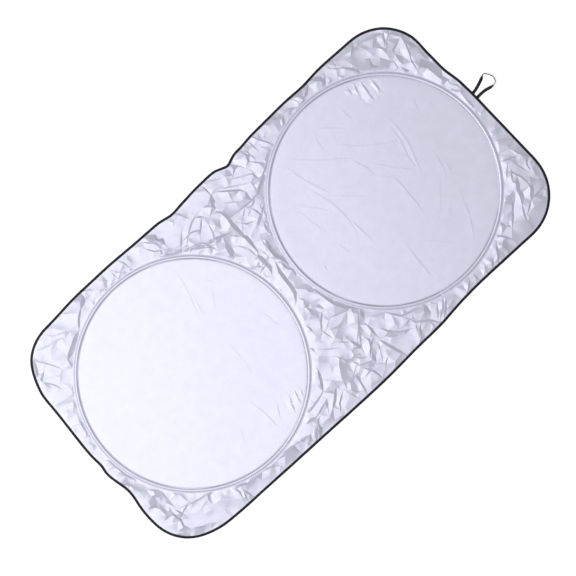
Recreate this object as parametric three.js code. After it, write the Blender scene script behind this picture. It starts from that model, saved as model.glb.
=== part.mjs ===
// Windscreen sunshade: one silvered cloth sheet with a bound edge and two sprung hoops.
// It lies opened out and face up, with the elastic loop that straps it shut at its +X end.
// Millimetres, +Z up, X along the sheet. Z = 0 is the table under the two taut discs,
// and the origin is below the middle of the whole outline.

import * as THREE from 'three';

// Driving dimensions of the sheet: the loose cloth left beyond the hoops' outer seams at the
// ends, along the long edges and between the hoops
const endMargin = 35.5;
const sideMargin = 46;
const middleGap = 73;
const cornerRadius = 148;
const clothThickness = 0.4;
const bindingWidth = 6;
const bindingThickness = 0.4;

// Driving dimensions of the hoops
const hoopRadius = 309;
const wireHeight = 3;
const wireThickness = 0.8;
const wireEndGap = 0.4;
const ferruleLength = 24;
const ferruleWall = 0.4;
const ferruleGap = 0.2;
const outerSeamOffset = 5;
const innerSeamOffset = 4.5;
const seamMargin = 2.5;
const tapeThickness = 0.3;

// Driving dimensions of the elastic loop
const elasticWidth = 7;
const elasticThickness = 1;

// Clearance kept between pieces that are sewn or seated together
const seatGap = 0.3;

// How the loose cloth round the hoops lies: lift of the slack, size of its folds,
// the fine crumple between the folds, and the share of their height left at the bound edge
const looseLift = 3.5;
const foldHeight = 7;
const foldWidth = 17;
const crumpleHeight = 1.8;
const crumpleSpacing = 14;
const hoopFadeWidth = 9;
const edgeShare = 0.4;

// Fineness of the rings round the hoops and round the edge
const hoopStations = 72;
const edgeStations = 220;
const degreesPerStation = 360 / hoopStations;

// Bearings, in degrees round each hoop, of the lapped ends of its tape and wire
const leftTapeJoin = 280;
const rightTapeJoin = 260;
const leftWireJoin = 100;
const rightWireJoin = 65;

// Places where the edge is drawn in, or bulges where the pull is negative: where along the
// half length and half width, how far it is drawn in, and over what distance that fades
const edgePulls = [
  [0.10, 1, 8, 330],
  [-0.47, 1, -5, 90],
  [-0.146, 1, 7, 26],
  [-0.09, 1, 4, 40],
  [0.136, 1, 16, 21],
  [0.21, 1, 4, 30],
  [0.79, 1, 5, 80],
  [-0.10, -1, -5, 160],
  [0.50, -1, 6, 110],
  [0.72, -1, 4, 120],
  [-0.68, -1, 4, 120],
  [-1, 0.62, 17, 140],
  [-1, -0.31, 11, 42],
  [-1, -0.10, -2, 18],
  [1, 0.50, 11, 80],
  [1, 0.33, 4, 30],
  [0.96, 0.87, 6, 90],
  [0.55, 1, 4, 40],
  [-0.63, 1, -4, 60],
  [-0.97, 0.79, 4, 45],
  [-1, -0.02, 4, 14],
  [-0.85, -0.94, 9, 70],
  [0.06, -1, -3.5, 110],
  [0.30, -1, -3.5, 60],
];

// Folds of the loose cloth round each hoop. Each crest runs between two places, given as a
// bearing round the hoop in degrees and a reach from the hoop (0) to the edge or the middle
// line (1). Its rise and spread follow, as shares of foldHeight and foldWidth.
const leftFolds = [
  // along the middle line
  [44, 1, 32, 1, 1.3, 0.7],
  [32, 1, 17, 1, 1.0, 0.6],
  [17, 1, 2, 1, 0.8, 0.6],
  [358, 1, 343, 1, 1.1, 0.7],
  [343, 1, 330, 1, 0.8, 0.7],
  [330, 1, 317, 1, 1.2, 0.7],
  // between the hoops, upper part
  [83, 1, 81, 0.4, 0.7, 0.8],
  [79, 1, 76, 0.3, 0.9, 0.7],
  [86, 0.3, 70, 0.12, 0.7, 0.6],
  [67, 0.95, 62, 0.5, 1.1, 0.9],
  [61, 0.4, 60, 0.1, 0.8, 0.6],
  [56, 1, 55, 0.7, 1.3, 0.7],
  [59, 0.2, 46, 0.15, 0.9, 0.7],
  [57, 0.6, 44, 0.85, 1.0, 0.9],
  [49, 0.1, 43, 0.6, 1.1, 0.8],
  [43, 0.25, 40, 0.55, 0.8, 0.7],
  [46, 0.2, 35, 0.4, 1.0, 0.8],
  [35, 0.4, 31, 0.9, 1.2, 0.8],
  [38, 0.12, 24, 0.15, 0.8, 0.6],
  [27, 0.2, 14, 0.35, 1.2, 0.8],
  [23, 0.8, 12, 0.6, 0.9, 0.8],
  [12, 0.8, 4, 0.5, 0.8, 0.8],
  // between the hoops, lower part
  [352, 0.9, 345, 0.3, 1.3, 0.9],
  [344, 0.25, 334, 0.2, 0.8, 0.7],
  [337, 0.2, 330, 0.7, 1.0, 0.8],
  [330, 0.7, 326, 0.95, 1.2, 0.8],
  [325, 0.65, 311, 0.65, 1.6, 1.0],
  [322, 0.2, 313, 0.3, 1.2, 0.8],
  [319, 0.85, 314, 1, 1.1, 0.8],
  [306, 0.35, 290, 0.12, 1.2, 0.7],
  [310, 0.35, 301, 0.7, 0.9, 0.8],
  [298, 0.45, 301, 1, 1.0, 0.8],
  [284, 1, 296, 0.6, 1.3, 0.8],
  [287, 0.5, 271, 0.3, 0.9, 0.7],
  // far end, upper corner
  [102, 0.8, 116, 0.5, 1.2, 0.8],
  [116, 0.5, 132, 0.22, 1.4, 1.0],
  [121, 1, 115, 0.45, 1.0, 0.8],
  [111, 1, 107, 0.5, 0.8, 0.8],
  [143, 1, 133, 0.85, 1.0, 0.7],
  [131, 0.9, 136, 0.4, 1.0, 0.9],
  [140, 0.8, 146, 0.4, 1.2, 0.8],
  [146, 0.4, 151, 0.15, 0.8, 0.6],
  [160, 1, 161, 0.3, 0.7, 0.7],
  [170, 1, 172, 0.4, 0.9, 0.6],
  [99, 1, 91, 0.5, 0.9, 0.8],
  // far end, lower corner
  [187, 1, 188, 0.4, 0.9, 0.6],
  [190, 0.8, 201, 0.75, 1.3, 0.9],
  [201, 0.75, 212, 0.6, 1.3, 0.9],
  [213, 0.4, 218, 0.75, 1.2, 0.8],
  [214, 0.35, 224, 0.5, 1.0, 0.8],
  [219, 0.7, 232, 0.85, 1.2, 0.8],
  [220, 0.5, 230, 0.3, 1.2, 0.8],
  [230, 0.3, 240, 0.15, 1.0, 0.7],
  [232, 0.55, 241, 0.3, 0.9, 0.8],
  [241, 0.8, 242, 1, 0.8, 0.6],
  [247, 0.35, 250, 1, 1.3, 0.8],
  [249, 0.2, 254, 1, 0.9, 0.8],
  [252, 0.2, 268, 0.2, 0.8, 0.7],
];

const rightFolds = [
  // between the hoops, upper part
  [139, 0.8, 137, 0.5, 1.4, 0.9],
  [147, 0.95, 137, 0.15, 1.2, 0.7],
  [130, 0.75, 126, 0.85, 0.9, 0.7],
  [129, 0.5, 125, 0.3, 0.8, 0.7],
  [121, 0.95, 124, 0.5, 1.2, 0.7],
  [116, 0.95, 114, 0.6, 0.9, 0.6],
  [134, 0.25, 120, 0.15, 1.1, 0.7],
  [106, 0.25, 98, 0.8, 1.3, 0.9],
  [142, 0.4, 139, 0.15, 1.0, 0.7],
  [156, 0.6, 146, 0.25, 0.9, 0.8],
  [164, 0.2, 154, 0.15, 0.8, 0.7],
  [159, 0.5, 166, 0.65, 1.4, 0.8],
  [166, 0.65, 174, 0.3, 1.3, 0.8],
  // between the hoops, lower part
  [189, 0.35, 201, 0.35, 1.4, 0.8],
  [201, 0.35, 213, 0.15, 1.2, 0.8],
  [214, 0.15, 214, 0.8, 1.4, 0.9],
  [203, 0.9, 211, 0.3, 1.0, 0.8],
  [216, 0.85, 218, 0.5, 0.9, 0.7],
  [222, 0.9, 220, 0.5, 1.1, 0.8],
  [227, 0.6, 231, 1, 1.2, 0.8],
  [226, 0.2, 236, 0.4, 1.2, 0.7],
  [234, 0.3, 250, 0.2, 0.9, 0.7],
  [223, 0.6, 239, 0.6, 1.0, 0.7],
  [240, 0.6, 240, 1, 1.3, 0.8],
  [257, 0.45, 251, 1, 1.3, 0.8],
  [270, 0.35, 265, 0.9, 1.0, 0.7],
  // near end, lower corner
  [277, 0.95, 282, 0.5, 0.8, 0.7],
  [284, 1, 292, 0.2, 1.3, 0.7],
  [289, 1, 293, 0.3, 1.4, 0.8],
  [294, 0.25, 297, 0.7, 1.0, 0.7],
  [297, 0.5, 307, 0.45, 1.4, 1.0],
  [307, 0.45, 319, 0.35, 1.3, 1.0],
  [306, 0.85, 320, 0.6, 1.2, 0.8],
  [318, 0.25, 324, 0.25, 0.9, 0.7],
  [330, 0.2, 330, 0.8, 1.0, 0.7],
  [334, 0.6, 330, 0.95, 1.1, 0.7],
  [344, 0.3, 345, 0.95, 0.8, 0.7],
  [322, 0.6, 326, 0.95, 1.0, 0.7],
  // near end, upper corner
  [90, 0.35, 82, 0.85, 0.9, 0.8],
  [77, 0.9, 78, 0.3, 1.1, 0.8],
  [73, 0.8, 61, 0.35, 1.3, 0.8],
  [69, 0.65, 56, 0.6, 1.2, 0.9],
  [56, 0.6, 48, 0.45, 1.3, 0.9],
  [49, 1, 41, 0.85, 1.4, 0.8],
  [45, 0.4, 40, 0.8, 1.2, 0.8],
  [40, 0.8, 31, 0.4, 1.5, 0.8],
  [39, 0.85, 33, 1, 1.0, 0.7],
  [41, 0.3, 29, 0.25, 1.1, 0.7],
  [32, 0.5, 25, 0.95, 1.2, 0.8],
  [25, 0.5, 17, 0.8, 1.3, 0.9],
  [17, 0.8, 10, 0.85, 1.2, 0.8],
  [8, 0.5, 358, 0.6, 1.0, 0.7],
];

// Route of the elastic loop's middle line, from one sewn end to the other: how far it is
// past the end edge, and how far up the sheet from its long middle line
const loopRoute = [
  [-5, 26],
  [6, 27],
  [18, 30],
  [38, 37],
  [53, 44],
  [60, 36],
  [66, 24],
  [65, 12],
  [58, 5],
  [44, 5],
  [27, 9],
  [9, 10],
  [-5, 9],
];

// Values that follow from the driving dimensions
const outerSeamRadius = hoopRadius + outerSeamOffset;
const innerSeamRadius = hoopRadius - innerSeamOffset;
const hoopOffset = outerSeamRadius + middleGap / 2;
const halfLength = hoopOffset + outerSeamRadius + endMargin;
const halfWidth = outerSeamRadius + sideMargin;
const tapeOuterEdge = outerSeamRadius + seamMargin;
const tapeInnerEdge = innerSeamRadius - seamMargin;
const tautRadius = tapeOuterEdge + 2;
const sheetInset = bindingThickness + seatGap;
const stripInset = bindingWidth + 1;
const wireBottom = clothThickness + seatGap;
const wireTop = wireBottom + wireHeight;
const ferruleInside = wireThickness / 2 + ferruleGap;
const ferruleOutside = ferruleInside + ferruleWall;
const ferruleTop = wireTop + ferruleGap + ferruleWall;
const tableGap = 0.1;
const lowestEdge = sheetInset + tableGap;
const loopRootLift = lowestEdge + elasticThickness + seatGap;

// Materials
const silverCloth = new THREE.MeshStandardMaterial({ color: '#dfe0ee', roughness: 0.45, metalness: 0.35 });
const blackTape = new THREE.MeshStandardMaterial({ color: '#15151b', roughness: 0.8, metalness: 0 });
const silverTape = new THREE.MeshStandardMaterial({ color: '#dcdce8', roughness: 0.5, metalness: 0.3 });
const springSteel = new THREE.MeshStandardMaterial({ color: '#8d8f93', roughness: 0.35, metalness: 0.9 });
const crimpSteel = new THREE.MeshStandardMaterial({ color: '#b6b7b9', roughness: 0.3, metalness: 0.9 });
const blackElastic = new THREE.MeshStandardMaterial({ color: '#101014', roughness: 0.9, metalness: 0 });

function makeGeometry(points, indices) {
  const geometry = new THREE.BufferGeometry().setFromPoints(points);
  geometry.setIndex(indices);
  geometry.computeVertexNormals();
  return geometry;
}

// Solid swept through rings, each ring holding the same cross-section outline in its place.
// An open sweep is capped with the outline, which runs anticlockwise.
function sweep(rings, outline, closed) {
  const size = outline.length;
  const indices = [];
  const steps = closed ? rings.length : rings.length - 1;
  for (let step = 0; step < steps; step += 1) {
    const here = step * size;
    const next = ((step + 1) % rings.length) * size;
    for (let corner = 0; corner < size; corner += 1) {
      const after = (corner + 1) % size;
      indices.push(here + corner, here + after, next + after);
      indices.push(here + corner, next + after, next + corner);
    }
  }
  if (!closed) {
    const end = (rings.length - 1) * size;
    for (const [a, b, c] of THREE.ShapeUtils.triangulateShape(outline, [])) {
      indices.push(a, c, b);
      indices.push(end + a, end + b, end + c);
    }
  }
  return makeGeometry(rings.flat(), indices);
}

function lerpRing(ring, other, share) {
  return ring.map((point, index) => point.clone().lerp(other[index], share));
}

// Cross-section outline, as radius and height, stood up at one bearing round a hoop.
// The sweep goes round clockwise seen from above, so that its faces point out.
function hoopRing(outline, bearing, lift = 0) {
  const angle = THREE.MathUtils.degToRad(bearing);
  return outline.map(({ x, y }) => new THREE.Vector3(x * Math.cos(angle), x * Math.sin(angle), y + lift));
}

// Edge of the sheet

function plainOutline() {
  const outline = new THREE.Shape();
  const straightX = halfLength - cornerRadius;
  const straightY = halfWidth - cornerRadius;
  outline.moveTo(halfLength, 0);
  outline.absarc(straightX, straightY, cornerRadius, 0, Math.PI / 2);
  outline.absarc(-straightX, straightY, cornerRadius, Math.PI / 2, Math.PI);
  outline.absarc(-straightX, -straightY, cornerRadius, Math.PI, Math.PI * 1.5);
  outline.absarc(straightX, -straightY, cornerRadius, Math.PI * 1.5, Math.PI * 2);
  outline.closePath();
  return outline.getSpacedPoints(edgeStations).slice(0, edgeStations);
}

// Direction from each point of a closed, anticlockwise outline towards its inside
function inwardDirections(outline) {
  return outline.map((point, index) => {
    const before = outline[(index + outline.length - 1) % outline.length];
    const after = outline[(index + 1) % outline.length];
    const along = after.clone().sub(before).normalize();
    return new THREE.Vector2(-along.y, along.x);
  });
}

function pulledOutline() {
  const plain = plainOutline();
  const inward = inwardDirections(plain);
  return plain.map((point, index) => {
    let pull = 0;
    for (const [alongLength, alongWidth, depth, fade] of edgePulls) {
      const distance = Math.hypot(point.x - alongLength * halfLength, point.y - alongWidth * halfWidth);
      pull += depth * Math.exp(-((distance / fade) ** 2));
    }
    return point.clone().addScaledVector(inward[index], pull);
  });
}

// Height of the cloth

// Distance from a hoop's middle, in one direction, to the plain edge or the middle line.
// The side is -1 for the left hoop and 1 for the right hoop.
function distanceToEdge(side, direction) {
  const outwards = direction.x * side > 0;
  const limitX = outwards ? halfLength - hoopOffset : hoopOffset;
  const toSideEdge = limitX / Math.max(Math.abs(direction.x), 1e-6);
  const toLongEdge = halfWidth / Math.max(Math.abs(direction.y), 1e-6);
  const toRectangle = Math.min(toSideEdge, toLongEdge);
  const cornerX = limitX - cornerRadius;
  const cornerY = halfWidth - cornerRadius;
  const inCornerX = Math.abs(direction.x) * toRectangle > cornerX;
  const inCornerY = Math.abs(direction.y) * toRectangle > cornerY;
  if (!outwards || !inCornerX || !inCornerY) {
    return toRectangle;
  }
  const along = Math.abs(direction.x) * cornerX + Math.abs(direction.y) * cornerY;
  return along + Math.sqrt(along ** 2 - cornerX ** 2 - cornerY ** 2 + cornerRadius ** 2);
}

function foldPlace(side, bearing, reach) {
  const angle = THREE.MathUtils.degToRad(bearing);
  const direction = new THREE.Vector2(Math.cos(angle), Math.sin(angle));
  const distance = THREE.MathUtils.lerp(outerSeamRadius, distanceToEdge(side, direction), reach);
  return new THREE.Vector2(side * hoopOffset, 0).addScaledVector(direction, distance);
}

function placedFolds(side, folds) {
  return folds.map(([bearing, reach, endBearing, endReach, rise, spread]) => ({
    start: foldPlace(side, bearing, reach),
    end: foldPlace(side, endBearing, endReach),
    rise: rise * foldHeight,
    spread: spread * foldWidth,
  }));
}

const allFolds = [...placedFolds(-1, leftFolds), ...placedFolds(1, rightFolds)];

function distanceToFold(fold, point) {
  const along = fold.end.clone().sub(fold.start);
  const share = point.clone().sub(fold.start).dot(along) / along.lengthSq();
  const nearest = fold.start.clone().addScaledVector(along, THREE.MathUtils.clamp(share, 0, 1));
  return nearest.distanceTo(point);
}

// How far a point is outside the nearer hoop's taut disc
function distanceFromDiscs(point) {
  return Math.hypot(Math.abs(point.x) - hoopOffset, point.y) - tautRadius;
}

// The highest fold at a point rules, so that crests stay sharp where folds cross
function clothHeight(point) {
  const folds = allFolds.map((fold) => fold.rise * Math.max(0, 1 - distanceToFold(fold, point) / fold.spread));
  const fade = THREE.MathUtils.smoothstep(distanceFromDiscs(point), 0, hoopFadeWidth);
  return fade * (looseLift + Math.max(...folds));
}

// The edge keeps clear of the table by the binding's under layer, and of the elastic's ends
function edgeHeight(point) {
  const rootsY = [loopRoute[0][1], loopRoute[loopRoute.length - 1][1]];
  const nearRoots = point.x > halfLength * 0.9
    && rootsY.some((y) => Math.abs(point.y - y) < 3 * elasticWidth);
  const wave = edgeShare * (clothHeight(point) - looseLift);
  return Math.max(wave, nearRoots ? loopRootLift : lowestEdge);
}

// Triangles of the sheet

// Circle through three points, as middle and squared radius
function circleThrough(a, b, c) {
  const twiceArea = 2 * (a.x * (b.y - c.y) + b.x * (c.y - a.y) + c.x * (a.y - b.y));
  const [sizeA, sizeB, sizeC] = [a.lengthSq(), b.lengthSq(), c.lengthSq()];
  const x = (sizeA * (b.y - c.y) + sizeB * (c.y - a.y) + sizeC * (a.y - b.y)) / twiceArea;
  const y = (sizeA * (c.x - b.x) + sizeB * (a.x - c.x) + sizeC * (b.x - a.x)) / twiceArea;
  return { x, y, radiusSquared: (a.x - x) ** 2 + (a.y - y) ** 2 };
}

// Delaunay triangulation: points go in one by one, each opening the triangles whose circle
// holds it and closing the hole with new ones
function triangulate(points) {
  const far = 40 * halfLength;
  const all = [...points, new THREE.Vector2(-far, -far), new THREE.Vector2(far, -far), new THREE.Vector2(0, far)];
  const count = points.length;
  const makeTriangle = (a, b, c) => ({ corners: [a, b, c], circle: circleThrough(all[a], all[b], all[c]) });
  let triangles = [makeTriangle(count, count + 1, count + 2)];
  points.forEach((point, index) => {
    const holds = ({ circle }) => (point.x - circle.x) ** 2 + (point.y - circle.y) ** 2 < circle.radiusSquared;
    const opened = triangles.filter(holds);
    const rim = new Map();
    for (const { corners: [a, b, c] } of opened) {
      for (const [from, to] of [[a, b], [b, c], [c, a]]) {
        if (!rim.delete(`${to},${from}`)) {
          rim.set(`${from},${to}`, [from, to]);
        }
      }
    }
    triangles = triangles.filter((triangle) => !holds(triangle));
    for (const [from, to] of rim.values()) {
      triangles.push(makeTriangle(from, to, index));
    }
  });
  return triangles.map(({ corners }) => corners).filter((corners) => corners.every((corner) => corner < count));
}

function isInside(outline, x, y) {
  let inside = false;
  outline.forEach((here, index) => {
    const next = outline[(index + 1) % outline.length];
    if ((here.y > y) !== (next.y > y) && x < here.x + ((y - here.y) / (next.y - here.y)) * (next.x - here.x)) {
      inside = !inside;
    }
  });
  return inside;
}

function clearOf(points, candidate, distance) {
  return points.every((point) => point.distanceTo(candidate) > distance);
}

// Points along every fold's crest
function crestPoints(strip) {
  const crest = [];
  for (const { start, end } of allFolds) {
    const steps = Math.max(1, Math.round(start.distanceTo(end) / crumpleSpacing));
    for (let step = 0; step <= steps; step += 1) {
      const point = start.clone().lerp(end, step / steps);
      if (fitsLooseCloth(strip, point) && clearOf(crest, point, crumpleSpacing * 0.4)) {
        crest.push(point);
      }
    }
  }
  return crest;
}

// Whether a point is far enough inside the strip under the binding and off the taut discs,
// in shares of the step between the points there
function fitsLooseCloth(strip, point) {
  const roomAtEdge = 0.55 * strip[0].distanceTo(strip[1]);
  const roomAtDisc = 0.6 * tautRadius * THREE.MathUtils.degToRad(degreesPerStation / 2);
  return distanceFromDiscs(point) > roomAtDisc
    && isInside(strip, point.x, point.y) && clearOf(strip, point, roomAtEdge);
}

// Scattered points between the crests, on a shaken grid
function crumplePoints(strip, crest) {
  const scattered = [];
  const rowHeight = crumpleSpacing * Math.sqrt(3) / 2;
  const shake = crumpleSpacing * 0.5;
  for (let row = 0; row * rowHeight < 2 * halfWidth; row += 1) {
    for (let column = 0; column * crumpleSpacing < 2 * halfLength; column += 1) {
      const x = (column + (row % 2) / 2) * crumpleSpacing - halfLength;
      const y = row * rowHeight - halfWidth;
      const point = new THREE.Vector2(
        x + (THREE.MathUtils.seededRandom() - 0.5) * shake,
        y + (THREE.MathUtils.seededRandom() - 0.5) * shake,
      );
      if (fitsLooseCloth(strip, point) && clearOf(crest, point, crumpleSpacing * 0.6)) {
        scattered.push(point);
      }
    }
  }
  return scattered;
}

// Points of one taut disc: its middle, a ring just inside the tape and a ring at its rim
function discPoints(side) {
  const middle = new THREE.Vector2(side * hoopOffset, 0);
  const openRadius = tapeInnerEdge - 2 * seatGap;
  const disc = [middle];
  for (let station = 0; station < 2 * hoopStations; station += 1) {
    const angle = THREE.MathUtils.degToRad(station * degreesPerStation / 2);
    const direction = new THREE.Vector2(Math.cos(angle), Math.sin(angle));
    disc.push(middle.clone().addScaledVector(direction, tautRadius));
    if (station % 2 === 0) {
      disc.push(middle.clone().addScaledVector(direction, openRadius));
    }
  }
  return disc;
}

function insetOutline(edge, inset) {
  return edge.outline.map((point, index) => point.clone().addScaledVector(edge.inward[index], inset));
}

function makeEdge() {
  const outline = pulledOutline();
  return { outline, inward: inwardDirections(outline), heights: outline.map(edgeHeight) };
}

// The sheet: flat discs, crumpled loose cloth, and a plain strip that lies in the binding
function sheetGeometry(edge) {
  THREE.MathUtils.seededRandom(7);
  const strip = insetOutline(edge, stripInset);
  const rim = insetOutline(edge, sheetInset);
  const crest = crestPoints(strip);
  const scattered = crumplePoints(strip, crest);
  const flat = [...discPoints(-1), ...discPoints(1)];
  const inner = [...flat, ...strip, ...crest, ...scattered];
  const shaken = (point, share) => {
    const shake = (THREE.MathUtils.seededRandom() * 2 - 1) * crumpleHeight * share;
    return Math.max(clothHeight(point) + shake, 0);
  };
  const heights = [
    ...flat.map(() => 0),
    ...edge.heights,
    ...crest.map((point) => shaken(point, 0.5)),
    ...scattered.map((point) => shaken(point, 1)),
    ...edge.heights,
  ];
  const places = [...inner, ...rim];
  const faces = triangulate(inner).filter(([a, b, c]) => {
    const middle = inner[a].clone().add(inner[b]).add(inner[c]).divideScalar(3);
    return isInside(strip, middle.x, middle.y);
  });
  const stripStart = flat.length;
  const rimStart = inner.length;
  const under = places.length;
  const indices = [];
  for (const [a, b, c] of faces) {
    indices.push(under + a, under + b, under + c);
    indices.push(a, c, b);
  }
  for (let station = 0; station < edgeStations; station += 1) {
    const next = (station + 1) % edgeStations;
    const [outerHere, outerNext] = [rimStart + station, rimStart + next];
    const [innerHere, innerNext] = [stripStart + station, stripStart + next];
    indices.push(under + outerHere, under + outerNext, under + innerNext);
    indices.push(under + outerHere, under + innerNext, under + innerHere);
    indices.push(outerHere, innerNext, outerNext);
    indices.push(outerHere, innerHere, innerNext);
    indices.push(outerHere, outerNext, under + outerNext);
    indices.push(outerHere, under + outerNext, under + outerHere);
  }
  const underside = places.map((place, index) => new THREE.Vector3(place.x, place.y, heights[index]));
  const topside = underside.map((point) => point.clone().setZ(point.z + clothThickness));
  return makeGeometry([...underside, ...topside], indices);
}

// The binding: a tape folded over the sheet's rim, as a U lying on its side
function bindingGeometry(edge) {
  const top = clothThickness + seatGap + bindingThickness;
  const bottom = -seatGap - bindingThickness;
  const outline = [
    new THREE.Vector2(0, top),
    new THREE.Vector2(0, bottom),
    new THREE.Vector2(bindingWidth, bottom),
    new THREE.Vector2(bindingWidth, -seatGap),
    new THREE.Vector2(bindingThickness, -seatGap),
    new THREE.Vector2(bindingThickness, clothThickness + seatGap),
    new THREE.Vector2(bindingWidth, clothThickness + seatGap),
    new THREE.Vector2(bindingWidth, top),
  ];
  const rings = edge.outline.map((point, index) => outline.map(({ x, y }) => {
    const place = point.clone().addScaledVector(edge.inward[index], x);
    return new THREE.Vector3(place.x, place.y, edge.heights[index] + y);
  }));
  return sweep(rings, outline, true);
}

// Spring wire of one hoop: a flat strip on edge, bent round until its ends meet
function wireGeometry(join) {
  const [inside, outside] = [hoopRadius - wireThickness / 2, hoopRadius + wireThickness / 2];
  const outline = [
    new THREE.Vector2(inside, wireBottom),
    new THREE.Vector2(outside, wireBottom),
    new THREE.Vector2(outside, wireTop),
    new THREE.Vector2(inside, wireTop),
  ];
  const rings = [];
  for (let station = 0; station <= hoopStations; station += 1) {
    rings.push(hoopRing(outline, join - station * degreesPerStation));
  }
  const endShare = wireEndGap / 2 / (hoopRadius * THREE.MathUtils.degToRad(degreesPerStation));
  rings[0] = lerpRing(rings[0], rings[1], endShare);
  rings[hoopStations] = lerpRing(rings[hoopStations], rings[hoopStations - 1], endShare);
  return sweep(rings, outline, false);
}

// Crimp clip pinched over the two ends of a hoop's wire
function ferruleGeometry(join) {
  const [inside, outside] = [ferruleInside, ferruleOutside];
  const shoulder = ferruleTop - ferruleWall;
  const outline = [
    new THREE.Vector2(hoopRadius - outside, wireBottom),
    new THREE.Vector2(hoopRadius - inside, wireBottom),
    new THREE.Vector2(hoopRadius - inside, shoulder),
    new THREE.Vector2(hoopRadius + inside, shoulder),
    new THREE.Vector2(hoopRadius + inside, wireBottom),
    new THREE.Vector2(hoopRadius + outside, wireBottom),
    new THREE.Vector2(hoopRadius + outside, ferruleTop),
    new THREE.Vector2(hoopRadius - outside, ferruleTop),
  ];
  const middle = hoopRing(outline, join);
  const endShare = ferruleLength / 2 / (hoopRadius * THREE.MathUtils.degToRad(degreesPerStation));
  const start = lerpRing(middle, hoopRing(outline, join + degreesPerStation), endShare);
  const end = lerpRing(middle, hoopRing(outline, join - degreesPerStation), endShare);
  return sweep([start, middle, end], outline, false);
}

// Tape sewn over a hoop's wire along two seams, with its end lapped over its start
function tapeGeometry(join) {
  const seat = clothThickness + seatGap;
  const crown = ferruleTop + seatGap;
  const crownHalf = ferruleOutside + seatGap;
  const outerFoot = outerSeamRadius - seamMargin + 0.7;
  const innerFoot = innerSeamRadius + seamMargin - 0.9;
  const outline = [
    new THREE.Vector2(tapeInnerEdge, seat),
    new THREE.Vector2(innerFoot, seat),
    new THREE.Vector2(hoopRadius - crownHalf, crown),
    new THREE.Vector2(hoopRadius + crownHalf, crown),
    new THREE.Vector2(outerFoot, seat),
    new THREE.Vector2(tapeOuterEdge, seat),
    new THREE.Vector2(tapeOuterEdge, seat + tapeThickness),
    new THREE.Vector2(outerFoot + tapeThickness, seat + tapeThickness),
    new THREE.Vector2(hoopRadius + crownHalf + tapeThickness, crown + tapeThickness),
    new THREE.Vector2(hoopRadius - crownHalf - tapeThickness, crown + tapeThickness),
    new THREE.Vector2(innerFoot - tapeThickness, seat + tapeThickness),
    new THREE.Vector2(tapeInnerEdge, seat + tapeThickness),
  ];
  const lapLift = tapeThickness + seatGap;
  const rings = [];
  for (let station = 0; station <= hoopStations + 1; station += 1) {
    const lift = station < hoopStations ? 0 : lapLift;
    rings.push(hoopRing(outline, join - station * degreesPerStation, lift));
  }
  return sweep(rings, outline, false);
}

// Elastic loop: flat where it is sewn under the binding, turned up on its edge further out
function elasticGeometry() {
  const [halfStrap, halfDepth] = [elasticWidth / 2, elasticThickness / 2];
  const outline = [
    new THREE.Vector2(-halfStrap, -halfDepth),
    new THREE.Vector2(halfStrap, -halfDepth),
    new THREE.Vector2(halfStrap, halfDepth),
    new THREE.Vector2(-halfStrap, halfDepth),
  ];
  const route = new THREE.CatmullRomCurve3(loopRoute.map(([x, y]) => new THREE.Vector3(halfLength + x, y, 0)));
  const steps = 60;
  const rings = [];
  for (let step = 0; step <= steps; step += 1) {
    const share = step / steps;
    const place = route.getPointAt(share);
    const along = route.getTangentAt(share);
    const sideways = new THREE.Vector3(-along.y, along.x, 0);
    const upright = new THREE.Vector3(0, 0, 1);
    const turn = THREE.MathUtils.smoothstep(Math.min(share, 1 - share), 0.2, 0.37) * Math.PI / 2;
    const acrossStrap = sideways.clone().multiplyScalar(Math.cos(turn)).addScaledVector(upright, Math.sin(turn));
    const throughStrap = upright.clone().multiplyScalar(Math.cos(turn)).addScaledVector(sideways, -Math.sin(turn));
    place.z = tableGap + halfStrap * Math.sin(turn) + halfDepth * Math.cos(turn);
    rings.push(outline.map(({ x, y }) => (
      place.clone().addScaledVector(acrossStrap, x).addScaledVector(throughStrap, y)
    )));
  }
  return sweep(rings, outline, false);
}

function makeMesh(name, geometry, material) {
  const mesh = new THREE.Mesh(geometry, material);
  mesh.name = name;
  return mesh;
}

// One hoop: its wire, the clip on the wire's ends and the tape over them
function makeHoop(side, offset, wireJoin, tapeJoin) {
  const hoop = new THREE.Group();
  hoop.position.x = offset;
  hoop.add(makeMesh(`${side}_hoop_wire`, wireGeometry(wireJoin), springSteel));
  hoop.add(makeMesh(`${side}_hoop_ferrule`, ferruleGeometry(wireJoin), crimpSteel));
  hoop.add(makeMesh(`${side}_hoop_tape`, tapeGeometry(tapeJoin), silverTape));
  return hoop;
}

const sheetEdge = makeEdge();
const layout = new THREE.Group();
layout.add(makeMesh('sheet', sheetGeometry(sheetEdge), silverCloth));
layout.add(makeMesh('edge_binding', bindingGeometry(sheetEdge), blackTape));
layout.add(makeHoop('left', -hoopOffset, leftWireJoin, leftTapeJoin));
layout.add(makeHoop('right', hoopOffset, rightWireJoin, rightTapeJoin));
layout.add(makeMesh('elastic_loop', elasticGeometry(), blackElastic));

// The origin goes below the middle of everything, loop included
const middle = new THREE.Box3().setFromObject(layout).getCenter(new THREE.Vector3());
layout.position.set(-middle.x, -middle.y, 0);

const sunshade = new THREE.Group();
sunshade.add(layout);

export default sunshade;
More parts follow.
